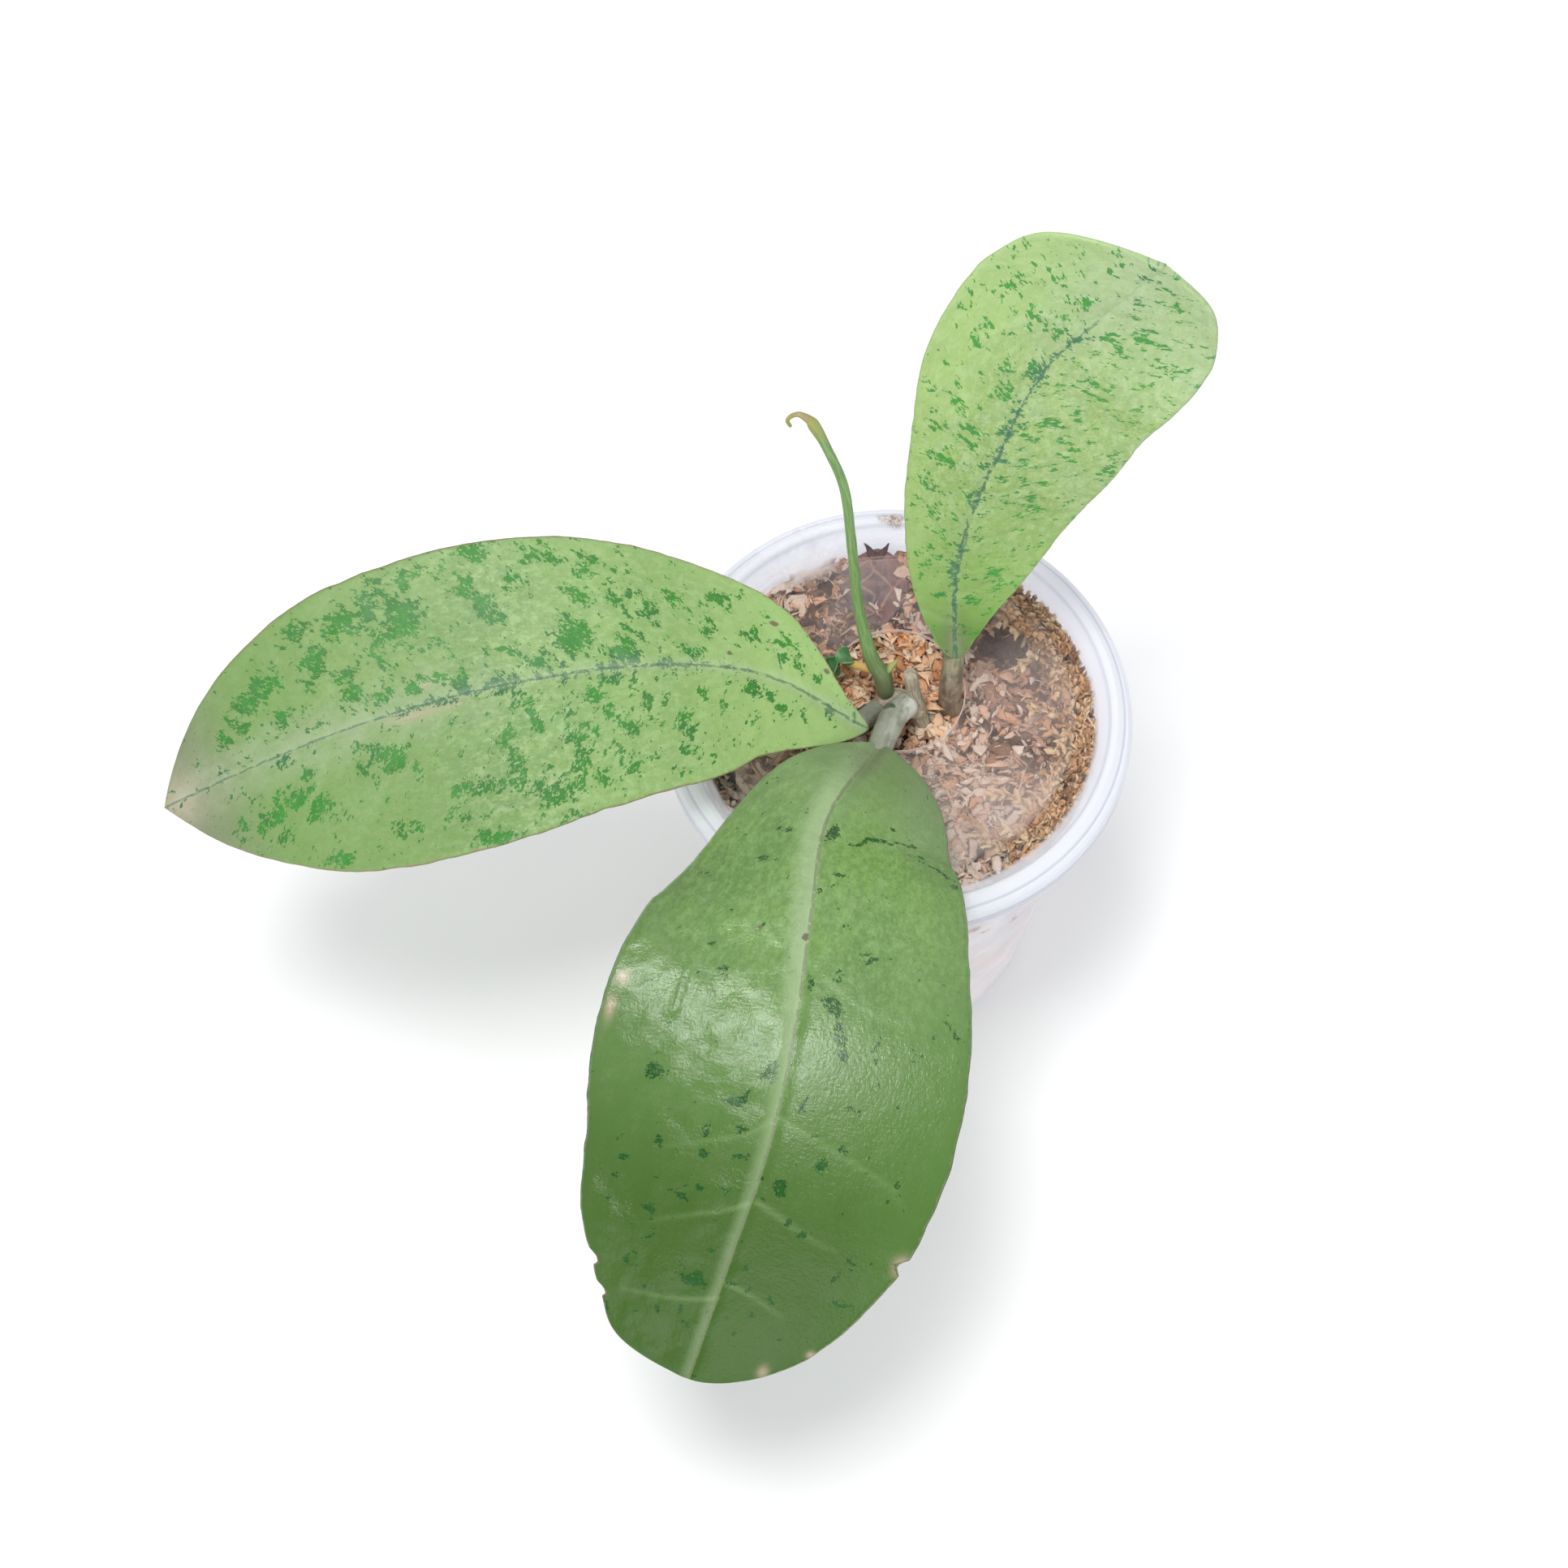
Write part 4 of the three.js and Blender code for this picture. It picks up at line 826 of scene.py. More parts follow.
def rib_length(leaf, s):
    """Length along the rib from its foot to the share s of its path."""
    steps = np.linspace(0, 1, 2001)
    run = np.cumsum(np.linalg.norm(np.diff(catmull(leaf["rib"], steps), axis=0), axis=1))
    return np.interp(s, steps, np.concatenate([[0], run]))


def near_line(a, b, line, width):
    """1 on a line through points [along, across], falling to 0 a width away, and how far along it one is."""
    t = np.linspace(0, 1, 70)
    points = catmull(line, t)
    best, at = np.full(a.shape, 1e9), np.zeros(a.shape)
    for (x, y), where in zip(points, t):
        far = (a - x) ** 2 + (b - y) ** 2
        closer = far < best
        best, at = np.where(closer, far, best), np.where(closer, where, at)
    return np.exp(-best / width**2), at


def spot_field(a, b, spots):
    """At each point the strongest of some soft oval spots of (along, across, length, width, power)."""
    field = np.zeros(a.shape)
    for at, across, length, width, power in spots:
        field = np.maximum(field, power * np.exp(-(((a - at) / length) ** 2 + ((b - across) / width) ** 2)))
    return field


def sized(flecks, size, least=0.55):
    """Flecks grown by that size and not under the least length and width; one without a power has 1."""
    return [(at, across, max(size * length, least), max(size * width, least), power[0] if power else 1.0)
            for at, across, length, width, *power in flecks]


# What a blade has where its own marks don't say otherwise.
PLAIN_MARKS = {
    "ragged": 0.25, "notches": [], "veins": [], "vein_width": 0.7, "vein_depth": 0.2, "ridges": [],
    "wrinkle": 0.2, "crease": 0.05, "calm": 0, "flecks": [], "fleck_size": 1.2, "rib_flecks": [],
    "brown": [], "yellow": [], "stretch": 0.8,
}


def blade_relief(marks, a, b, s, edge, vein, seed):
    """Height of the wrinkles and ridges, less the sunk midrib and veins."""
    rib = np.exp(-(b / number_along(marks["rib_width"], s)) ** 2) * number_along(marks["rib_depth"], s)
    wrinkle = bumps(a * 0.16, b * 0.16, seed + 5, 3) * marks["wrinkle"]
    wrinkle = wrinkle + bumps(a * 0.55, b * 0.4, seed + 9, 2) * marks["crease"]
    wrinkle = wrinkle * step_between(edge, 0, 3) * (1 - marks["calm"] * step_between(b, -2, 6))
    relief = wrinkle - rib - vein * marks["vein_depth"]
    for line, high, wide in marks["ridges"]:
        relief = relief + near_line(a, b, line, wide)[0] * high
    return relief


def blade_paint(marks, a, b, side, edge, seed):
    """How dense the flecks are, and how brown and how yellow the skin is, at each point."""
    bent_a = a + bumps(a * 0.45, b * 0.45, seed + 20, 2) * 1.6
    bent_b = b + bumps(a * 0.45, b * 0.45, seed + 30, 2) * 1.6
    dense = spot_field(bent_a, bent_b, sized(marks["flecks"], marks["fleck_size"]))
    for start, end, power, wide in marks["rib_flecks"]:
        run = step_between(a, start, start + 6) * step_between(a, end, end - 8)
        dense = np.maximum(dense, power * run * np.exp(-(b / wide) ** 2))
    brown = spot_field(a, b, marks["brown"])
    for at, which, _, half in marks["notches"]:
        gone = np.exp(-((a - at) / (half + 1)) ** 2 - (edge / 1.2) ** 2) * (side == which)
        brown = np.maximum(brown, gone * 0.8)
    return dense, brown, spot_field(a, b, marks["yellow"])


def blade_mesh(leaf, marks, rows, columns, seed, edge_thick, middle_thick):
    """Points, faces and attributes of a closed blade; marks says what grows on it."""
    marks = {**PLAIN_MARKS, **marks}
    u = np.linspace(0.003, 0.997, rows)[:, None]
    k = np.linspace(1, -1, columns)[None]
    v = 0.8 * k + 0.2 * np.sin(k * math.pi / 2)
    middle, left, up, width, lift, s = blade_at(leaf, u, v)
    a = rib_length(leaf, s)
    side = np.where(v > 0, 1.0, -1.0)
    ragged = bumps(a * 0.22, side * 3.7, seed, 3) * marks["ragged"]
    bite = np.zeros(a.shape)
    for at, which, depth, half in marks["notches"]:
        bite += np.where(side == which, depth * np.exp(-((a - at) / half) ** 4), 0)
    pull = (ragged - bite) * np.minimum(1, width / 4)
    b = v * width + side * pull * np.abs(v) ** 10
    edge = np.maximum(width + pull - np.abs(b), 0)
    vein = np.zeros(a.shape)
    for line in marks["veins"]:
        close, at = near_line(a, b, line, marks["vein_width"])
        vein = np.maximum(vein, close * (1 - 0.75 * at))
    relief = blade_relief(marks, a, b, s, edge, vein, seed)
    dense, brown, yellow = blade_paint(marks, a, b, side, edge, seed)
    sheet = middle + left * b[..., None] + up * (lift * v * v)[..., None]
    thick = edge_thick + (middle_thick - edge_thick) * (1 - v * v)
    half = thick / 2 * np.sqrt(np.maximum(1 - np.abs(v) ** 60, 0))
    top = sheet + up * (half + relief)[..., None]
    below = sheet + up * (relief * 0.6 - half)[..., None]
    inner = slice(1, -1)

    def both(upper, lower):
        """Values of the upper face and of the lower one, which shares its outer columns."""
        return np.vstack([upper.reshape(-1, 3), lower[:, inner].reshape(-1, 3)])

    fleck = np.stack([a - np.abs(b) * 0.45, b * marks["stretch"], dense], -1)
    paint = np.stack([vein, brown, yellow], -1)
    attributes = {
        "place": both(np.stack([a, b, edge + 0.001], -1), np.stack([a, b, -edge - 0.001], -1)),
        "fleck": both(fleck, fleck),
        "paint": both(paint, paint),
    }
    upper = np.arange(rows * columns).reshape(rows, columns)
    lower = upper.copy()
    lower[:, inner] = rows * columns + np.arange(rows * (columns - 2)).reshape(rows, columns - 2)
    faces = quads(upper[:-1, :-1], upper[:-1, 1:], upper[1:, 1:], upper[1:, :-1])
    faces += quads(lower[:-1, :-1], lower[1:, :-1], lower[1:, 1:], lower[:-1, 1:])
    for row, way in ((0, -1), (rows - 1, 1)):
        ring = upper[row].tolist() + lower[row, inner][::-1].tolist()
        faces.append(ring[::way])
    return both(top, below), faces, attributes


def petiole_tube(leaf):
    """The petiole, running on close under the blade as a rib that thins out towards the tip."""
    u = np.array([0.06, 0.13, 0.21, 0.3, 0.45, 0.6, 0.75])
    rib = RIB["radius"]
    radii = np.interp(u, [0.06, 0.3, 0.45, 0.6, 0.75],
                      [leaf["petiole_radius"][-1], rib, rib * 0.75, rib * 0.5, RIB["tip"]])
    middle, _, up = blade_at(leaf, u, np.full(len(u), 1e-6))[:3]
    under = middle - up * (BLADE["middle"] / 2 + radii - RIB["sunk"])[:, None]
    path = leaf["petiole"][:-1] + [tuple(p) for p in under]
    return tube(path, leaf["petiole_radius"][:-1] + radii.tolist(), 24, 170, 0.05, 3)


def with_bar(points, faces, attributes, bar):
    """A blade and a bar (points, faces, place) as one mesh."""
    bar_points, bar_faces, place = bar
    first, zero = len(points), np.zeros((len(bar_points), 3))
    faces = faces + [[i + first for i in face] for face in bar_faces]
    added = {"place": place, "fleck": zero, "paint": zero}
    attributes = {key: np.vstack([attributes[key], added[key]]) for key in added}
    return np.vstack([points, bar_points]), faces, attributes


def leaf_piece(node, leaf, marks, look, stalk, seed):
    """A blade and its petiole as the piece that stands for one leaf."""
    blade = blade_mesh(leaf, marks, BLADE["rows"], BLADE["columns"], seed, BLADE["edge"], BLADE["middle"])
    petiole = petiole_tube(leaf)
    slots = [0] * len(blade[1]) + [1] * len(petiole[1])
    points, faces, attributes = with_bar(*blade, petiole)
    skin = leaf_material(node + "_skin", look, leaf["length"])
    piece(node + "_blade", points, faces, [skin, stalk], node, attributes, slots)


def even_veins(length, step, lean, reach):
    """Side veins at even distances that leave the midrib and bend towards the tip."""
    across = np.linspace(0.3, reach, 4)
    lines = []
    for start in np.arange(step * 0.7, length * 0.86, step):
        for side, later in ((1, 0), (-1, step / 2)):
            lines.append([(start + later + lean * b + 0.012 * b * b, side * b) for b in across])
    return lines


# ---------- cup and lid ----------
def wall_radius(z):
    return CUP["base_radius"] + CUP["taper"] * z


def inner_radius(z):
    return wall_radius(z) - CUP["wall"]


def rounded(profile, reach, steps=4):
    """The profile with each corner replaced by a short curve that starts at most reach from it."""
    p = np.asarray(profile, float)
    out = [p[0]]
    for before, here, after in zip(p[:-2], p[1:-1], p[2:]):
        back, on = before - here, after - here
        size = min(reach, 0.45 * np.linalg.norm(back), 0.45 * np.linalg.norm(on))
        start, end = here + unit(back) * size, here + unit(on) * size
        for t in np.linspace(0, 1, steps):
            out.append((1 - t) ** 2 * start + 2 * t * (1 - t) * here + t * t * end)
    out.append(p[-1])
    return np.array(out)


def with_steps(profile, longest):
    """The profile with its long runs cut up."""
    out = [profile[0]]
    for a, b in zip(profile[:-1], profile[1:]):
        count = max(1, math.ceil(np.linalg.norm(b - a) / longest))
        out += [a + (b - a) * k / count for k in range(1, count + 1)]
    return np.array(out)


def turned(profile, segments, closed, shift=None):
    """A profile of (radius, height) turned round the axis; shift moves each ring sideways."""
    angle = np.linspace(0, 2 * math.pi, segments, endpoint=False)
    r, z = profile[:, 0][:, None], profile[:, 1][:, None]
    x, y = r * np.sin(angle)[None], -r * np.cos(angle)[None]
    if shift is not None:
        move = shift(profile[:, 0])
        x, y = x + move[:, 0][:, None], y + move[:, 1][:, None]
    points = np.stack(np.broadcast_arrays(x, y, z), -1).reshape(-1, 3)
    rows = len(profile)
    faces = net(rows, segments, closed=True).tolist()
    if closed:
        first, last = np.arange(segments), (rows - 1) * segments + np.arange(segments)
        faces += np.stack([last, np.roll(last, -1), np.roll(first, -1), first], -1).tolist()
    else:
        faces += [list(range(segments))[::-1], list(range((rows - 1) * segments, rows * segments))]
    return points, faces


def make_cup():
    top, outer, inner = CUP["wall_top"], wall_radius(CUP["wall_top"]), inner_radius(CUP["wall_top"])
    lip = [(CUP["lip_radius"] - inside, CUP["rim_top"] - under) for inside, under in LIP]
    profile = [
        *BASE_OUTSIDE, (wall_radius(1), 1), (outer, top), (outer + 0.35, 92),
        *lip, (inner + 0.35, 92.2), (inner, top), (inner_radius(2), 2), *BASE_INSIDE,
    ]
    points, faces = turned(with_steps(rounded(profile, 0.5), 3.0), 180, closed=False)
    x, y, z = points.T
    sway = bumps(x * 0.04, y * 0.04 + z * 0.03, 31) * 0.25 * step_between(z, 5, 20) * step_between(z, 91, 86)
    points[:, :2] *= (1 + sway / np.maximum(np.hypot(x, y), 1))[:, None]
    # 0.2 is the strength of the cup's painted glow
    skin = clear_material("clear_cup", cup_cover, "fbfbff", 0.2)
    cut_holes(piece("cup_clear", points, faces, [skin], "cup"))


def cut_holes(cup):
    """The drain holes in the raised part of the cup's base."""
    parts = []
    for i in range(DRAIN["count"]):
        turn = 2 * math.pi * i / DRAIN["count"]
        x, y = DRAIN["circle"] * math.cos(turn), DRAIN["circle"] * math.sin(turn)
        points, faces = turned(np.array([(DRAIN["radius"], -2.0), (DRAIN["radius"], 4.0)]), 32, closed=False)
        parts.append((points + (x, y, 0), faces, np.zeros((len(points), 3))))
    points, faces, _ = gathered(parts)
    cutter = make_object("drain_cutter", points, faces, [])
    modifier = cup.modifiers.new("drains", "BOOLEAN")
    modifier.operation, modifier.solver, modifier.object = "DIFFERENCE", "EXACT", cutter
    shaped = bpy.data.meshes.new_from_object(cup.evaluated_get(bpy.context.evaluated_depsgraph_get()))
    cup.modifiers.clear()
    cup.data = shaped
    bpy.data.objects.remove(cutter)


def make_lid():
    channel, sheet, top, panel = LID["channel"], LID["sheet"], LID["top"], LID["panel"]
    grooves = []
    for i in range(SKIRT["grooves"]):
        z = SKIRT["first"] + SKIRT["step"] * i
        grooves += [(SKIRT["radius"], z), (SKIRT["radius"], z + 0.1), (SKIRT["groove"], z + 0.3),
                    (SKIRT["radius"], z + 0.5)]
    profile = [
        (HOLE["radius"], top - sheet / 2), (HOLE["radius"], top - sheet), (panel - sheet / 2, top - sheet),
        (panel + sheet, channel - sheet), *BEAD_INSIDE, (SKIRT["radius"], SKIRT["foot"]), *grooves,
        (SKIRT["radius"], SKIRT["top"]), *BEAD_OUTSIDE, (panel + 1.2, channel), (panel, top),
        (HOLE["radius"], top), (HOLE["radius"], top - sheet / 2),
    ]
    shape = with_steps(rounded(profile, 0.16), 2.2)[:-1]

    def shift(r):
        """The hole isn't in the middle, so the rings move from the panel's rim to it."""
        share = np.clip(1 - (r - HOLE["radius"]) / (panel - 1 - HOLE["radius"]), 0, 1)
        return np.stack([share * HOLE["x"], share * HOLE["y"]], -1)

    points, faces = turned(shape, 300, closed=True, shift=shift)
    x, y = points[:, 0], points[:, 1]
    points[:, 2] += bumps(x * 0.06, y * 0.06, 12, 2) * 0.22 * step_between(np.hypot(x, y), 36, 33)
    # 0.045 is the strength of the lid's painted glow
    skin = clear_material("clear_lid", lid_cover, "fbfcff", 0.045)
    piece("lid_clear", points, faces, [skin], "lid")


# ---------- growing medium ----------
def medium_height(x, y):
    lumps = np.sin(0.45 * x + 1.3) * np.cos(0.38 * y) + 0.6 * np.sin(0.9 * x - 0.7 * y)
    return MEDIUM["fill"] + MEDIUM["slope"] * (x + 0.4 * y) + 0.9 * lumps


def hollow(x, y):
    """How far the medium sinks in its hollow at x, y."""
    far = ((x - HOLLOW["x"]) / HOLLOW["wide"]) ** 2 + ((y - HOLLOW["y"]) / HOLLOW["long"]) ** 2
    return HOLLOW["depth"] * np.exp(-far)


def kept_inside(points, spare=0.0):
    """Points moved back under the lid and inside the wall, spare further in, but free to rise in the hole."""
    x, y = points[..., 0], points[..., 1]
    to_hole = np.hypot(x - HOLE["x"], y - HOLE["y"])
    drop = ROOM["channel_drop"] * step_between(np.hypot(x, y), *ROOM["channel"])
    roof = ROOM["roof"] - drop + ROOM["hole_rise"] * step_between(to_hole, *ROOM["hole"])
    points[..., 2] = np.minimum(points[..., 2], roof - spare)
    reach = inner_radius(points[..., 2]) - ROOM["wall_gap"] - spare
    points[..., :2] *= np.minimum(1, reach / np.maximum(np.hypot(x, y), 1e-6))[..., None]
    return points


def turning(yaw, pitch, roll):
    """Rotation matrices, one for each set of angles."""
    cz, cy, cx = np.cos(yaw), np.cos(pitch), np.cos(roll)
    sz, sy, sx = np.sin(yaw), np.sin(pitch), np.sin(roll)
    return np.stack([
        np.stack([cz * cy, cz * sy * sx - sz * cx, cz * sy * cx + sz * sx], -1),
        np.stack([sz * cy, sz * sy * sx + cz * cx, sz * sy * cx - cz * sx], -1),
        np.stack([-sy, cy * sx, cy * cx], -1),
    ], -2)


def flakes(size, bend, turn, centre, tone, sections=7, sides=6):
    """Curled lens-shaped chips: points, faces and (tone, along, across) at each point."""
    count = len(size)
    random = np.random.default_rng(count)
    t = np.linspace(-1, 1, sections)
    blunt = random.uniform(1.2, 6, (count, 2))
    power = np.where(t < 0, blunt[:, :1], blunt[:, 1:])
    lens = np.power(np.maximum(1 - np.abs(t) ** power, 0.03), 0.7)
    lens = (lens * (1 + random.normal(0, 0.2, (count, sections))).clip(0.35, 1.6))[..., None]
    angle = np.linspace(0, 2 * math.pi, sides, endpoint=False)
    along = np.broadcast_to(t[:, None], (sections, sides)) + random.normal(0, 0.05, (count, sections, sides))
    across = np.cos(angle) * lens
    thick = np.sin(angle) * (0.35 + 0.65 * lens) * np.minimum(1, lens * 3)
    length, width, height = (size[:, k, None, None] for k in range(3))
    arch, trough, sideways = (bend[:, k, None, None] for k in range(3))
    x = length * along / 2
    y = width * across / 2
    z = height * thick / 2
    z = z + (size[:, 1, None] * random.normal(0, 0.1, (count, sections)))[..., None]
    z = z - arch * along**2 + trough * across**2
    y = y + sideways * along**2
    local = np.stack([x, y, z], -1).reshape(count, -1, 3)
    points = np.einsum("nij,nkj->nki", turn, local) + centre[:, None]
    each = sections * sides
    first = np.arange(count) * each
    faces = (net(sections, sides, closed=True)[None] + first[:, None, None]).reshape(-1, 4).tolist()
    for start in first.tolist():
        faces.append(list(range(start, start + sides))[::-1])
        faces.append(list(range(start + each - sides, start + each)))
    values = np.stack(np.broadcast_arrays(tone[:, None], x.reshape(count, -1), y.reshape(count, -1)), -1)
    return points.reshape(-1, 3), faces, values.reshape(-1, 3)


def husk_piece(name, parts, skin):
    """A piece of the growing medium, made of several lots of flakes."""
    points, faces, values = gathered(parts)
    piece(name, kept_inside(points), faces, [skin], "growing_medium", {"place": values})


def make_bed():
    """The dark mass of the medium, under and behind the loose flakes."""
    sides, top_rings, wall_rings = 200, 56, 45
    angle = np.linspace(0, 2 * math.pi, sides, endpoint=False)
    rim = inner_radius(88) - 0.6
    r = np.concatenate([np.linspace(0.2, rim, top_rings), np.full(wall_rings, rim)])[:, None]
    x, y = r * np.sin(angle), -r * np.cos(angle)
    z = medium_height(x, y) - 1.2 + bumps(x * 0.3, y * 0.3, 8, 3) * 1.6 - hollow(x, y)
    top = z[top_rings - 1]
    down = np.linspace(0, 1, wall_rings + 1)[1:]
    z[top_rings:] = top[None] + (MEDIUM["bottom"] - top)[None] * down[:, None]
    lean = z[top_rings:] * 0.25
    dent = bumps(x[top_rings:] * 0.35 + lean, y[top_rings:] * 0.35 - lean, 5, 3) * 0.9 - 0.9
    wall = inner_radius(z[top_rings:]) - 0.5 + dent
    x[top_rings:], y[top_rings:] = wall * np.sin(angle), -wall * np.cos(angle)
    points = np.stack([x, y, z], -1).reshape(-1, 3)
    rows = top_rings + wall_rings
    faces = net(rows, sides, closed=True)[:, ::-1].tolist()
    faces += [list(range(sides)), list(range((rows - 1) * sides, rows * sides))[::-1]]
    piece("husk_bed", kept_inside(points), faces, [bed_material()], "growing_medium")


def even(random, count, *ranges):
    """Evenly spread numbers, one column for each range."""
    return np.stack([random.uniform(low, high, count) for low, high in ranges], -1)


def curled(random, size, along, across, sideways):
    """Bends of flakes as shares of their sizes: along, across and sideways."""
    count = len(size)
    return np.stack([size[:, 0] * random.uniform(*along, count), size[:, 1] * random.uniform(*across, count),
                     size[:, 0] * random.normal(0, sideways, count)], -1)


def tumbled(random, count, pitch, roll, whole=2 * math.pi):
    """Turns of flakes to any side, with these spreads of pitch and roll."""
    yaw = random.random(count) * whole
    return turning(yaw, random.normal(0, pitch, count), random.normal(0, roll, count))


def scattered(random, count, length, width, thick, raised, reach):
    """Sizes, bends, turns, centres and tones of flakes strewn over the medium."""
    out = reach * np.sqrt(random.random(count))
    turn = random.random(count) * 2 * math.pi
    x, y = out * np.cos(turn), out * np.sin(turn)
    size = even(random, count, length, width, thick)
    bend = curled(random, size, (-0.05, 0.3), (-0.1, 0.35), 0.1)
    z = medium_height(x, y) + random.uniform(*raised, count) - hollow(x, y)
    spin = tumbled(random, count, 0.4, 0.7)
    # tone: random, less in the hollow, where the flakes are coloured darker as painted shade
    tone = random.normal(0.6, 0.32, count) + bumps(x * 0.12, y * 0.12, 2, 2) * 0.5 - 0.09 * hollow(x, y)
    # painted shade: flakes near these spots are coloured darker
    for dark_x, dark_y, wide in PAINTED_SHADE_SPOTS:
        tone = tone - 0.75 * np.exp(-((x - dark_x) ** 2 + (y - dark_y) ** 2) / wide**2)
    tone = np.clip(tone + 0.36 * step_between(y, 6, -16) * step_between(x, 44, 30), 0, 1)
    return size, bend, spin, kept_inside(np.stack([x, y, z], -1), 1.0), tone


def wall_flakes(random, count):
    """Flakes pressed flat against the cup's wall."""
    z = random.uniform(4, 88, count)
    turn = random.random(count) * 2 * math.pi
    r = inner_radius(z) - random.uniform(0.9, 1.5, count)
    size = even(random, count, (4, 9), (1.6, 3.2), (0.4, 0.9))
    bend = np.stack([size[:, 0] ** 2 / 8 / 38, np.zeros(count), random.uniform(-0.8, 0.8, count)], -1)
    face_out = turning(turn, np.full(count, math.pi / 2), np.zeros(count))
    spin = np.einsum("nij,njk->nik", face_out, tumbled(random, count, 0.1, 0.15, math.pi))
    tone = np.clip(random.normal(0.45, 0.25, count), 0, 1)
    return flakes(size, bend, spin, np.stack([r * np.cos(turn), r * np.sin(turn), z], -1), tone)


def make_husk():
    """Loose husk flakes, crumbs and fibres over the bed, and more flakes at the wall."""
    random = np.random.default_rng(21)
    reach = inner_radius(88) - 1.2
    parts = [
        flakes(*scattered(random, 1500, (3, 7), (1.3, 3), (0.3, 0.6), (-1.4, 2), reach), 9, 6),
        flakes(*scattered(random, 1900, (1, 2.8), (0.6, 1.5), (0.25, 0.5), (-1.2, 2.2), reach), 5, 5),
        flakes(*scattered(random, 450, (2.5, 7), (0.25, 0.5), (0.2, 0.35), (-0.4, 2.0), reach), 7, 4),
        wall_flakes(random, 1000),
    ]
    husk_piece("husk_flakes", parts, husk_material("husk_flakes", "5e3c28", "f6bc92", "ffe8d2"))


def hole_curls(random, count):
    """Fine curls heaped up in the back of the lid's hole."""
    x, y = random.uniform(-13, 14, count), random.uniform(3, 18.5, count)
    keep = (np.hypot(x - HOLE["x"], y - HOLE["y"]) < 13.2) & ((y > 8) | (np.abs(x) > 4.5))
    x, y = x[keep], y[keep]
    count = len(x)
    z = 89 + np.clip((y - 5) * 0.62, 0, 7.4) + random.uniform(-1.6, 1.2, count)
    z = z + bumps(x * 0.25, y * 0.25, 4, 2) * 2.4
    size = even(random, count, (2.6, 6), (1, 2.3), (0.4, 0.8))
    bend = curled(random, size, (0.1, 0.45), (0.1, 0.5), 0.12)
    spin = tumbled(random, count, 0.6, 0.8)
    tone = np.clip(random.normal(0.68, 0.24, count) + bumps(x * 0.3, y * 0.3, 6, 2) * 0.5, 0, 1)
    return flakes(size, bend, spin, kept_inside(np.stack([x, y, z], -1), 0.6), tone, 7, 6)


def pale_chips(random, count):
    """A few pale chips in front of the stems."""
    turn, out = random.uniform(-0.9, 0.5, count), random.uniform(2, 6, count)
    size = even(random, count, (3.5, 6), (1.2, 2.4), (0.4, 0.7))
    bend = even(random, count, (0, 1), (0, 0.4), (-0.3, 0.3))
    x, y = 5.5 + out * np.cos(turn), -0.5 + out * np.sin(turn)
    centre = np.stack([x, y, random.uniform(87.6, 89.6, count)], -1)
    spin = tumbled(random, count, 0.3, 0.5)
    return flakes(size, bend, spin, kept_inside(centre, 0.6), random.uniform(0.7, 1, count), 9, 6)


def make_hole_curls():
    """What lies in the lid's hole: fine orange curls, one tall curl that stands up, and pale chips."""
    random = np.random.default_rng(5)
    curls = hole_curls(random, 620)
    standing = turning(*np.array([[1.9], [-0.9], [0.4]]))
    size, bend = np.array([[6.5, 1.8, 0.7]]), np.array([[1.4, 0.3, 0.3]])
    tall = flakes(size, bend, standing, np.array([[-1.8, 15.4, 96.0]]), np.array([0.7]), 11, 8)
    parts = [curls, tall, pale_chips(random, 26)]
    husk_piece("husk_curls", parts, husk_material("husk_orange", "8a5430", "fab988", "ffe8ca"))


def make_moss():
    """Strands of dry moss round the right and back right of the wall, set with small overlapping leaflets."""
    random = np.random.default_rng(9)
    strands, pace, bend = 120, 0.72, (0.5, -0.2, 0.0)
    sizes, spins, centres, tones = [], [], [], []
    for _ in range(strands):
        turn = random.uniform(-0.95, 1.2)
        start = random.uniform(34.5, 41.2)
        x, y = start * math.cos(turn), start * math.sin(turn)
        at = np.array([x, y, medium_height(x, y) + random.uniform(0.4, 3.4)])
        heading = turn + math.pi / 2 * random.choice([-1, 1]) + random.normal(0, 0.45)
        rise = random.uniform(0.1, 0.9)
        curve = random.normal(0, 0.05)
        tone = random.uniform(0.15, 1.0)
        for step in range(int(random.uniform(9, 19))):
            heading += curve
            rise = rise * 0.965
            cos, sin = math.cos(heading), math.sin(heading)
            at = at + pace * np.array([cos * math.cos(rise), sin * math.cos(rise), math.sin(rise)])
            around = step * 2.4
            sizes.append((random.uniform(2.4, 4.2), random.uniform(0.9, 1.7), 0.35))
            spins.append((heading + 0.8 * math.cos(around), -rise - 0.75 * math.sin(around), around))
            at = kept_inside(at, 1.3)
            beside = np.array([-sin * math.cos(around), cos * math.cos(around), math.sin(around)])
            centres.append(at + 0.6 * beside)
            tones.append(np.clip(tone + random.normal(0, 0.16), 0, 1))
    bends = np.tile(bend, (len(sizes), 1))
    spin = turning(*np.array(spins).T)
    leaflets = flakes(np.array(sizes), bends, spin, np.array(centres), np.array(tones), 5, 5)
    husk_piece("dry_moss", [leaflets], husk_material("dry_moss", "865a32", "eab47a", "fce0b2"))


# ---------- stem, shoot, young leaf and dry leaf ----------
def root_path(i):
    """One root: it leaves the stem to its own side and runs on down."""
    turn = i / ROOTS["count"] * 2 * math.pi + ROOTS["turn"]
    dx, dy = math.cos(turn) * ROOTS["spread"], math.sin(turn) * ROOTS["spread"]
    x, y, start = ROOTS["x"], ROOTS["y"], ROOTS["top"] - ROOTS["step"] * i
    return [(x, y, start), (x + dx / 2, y + dy / 2, start - ROOTS["length"] / 4),
            (x + dx, y + dy, start - ROOTS["length"])]


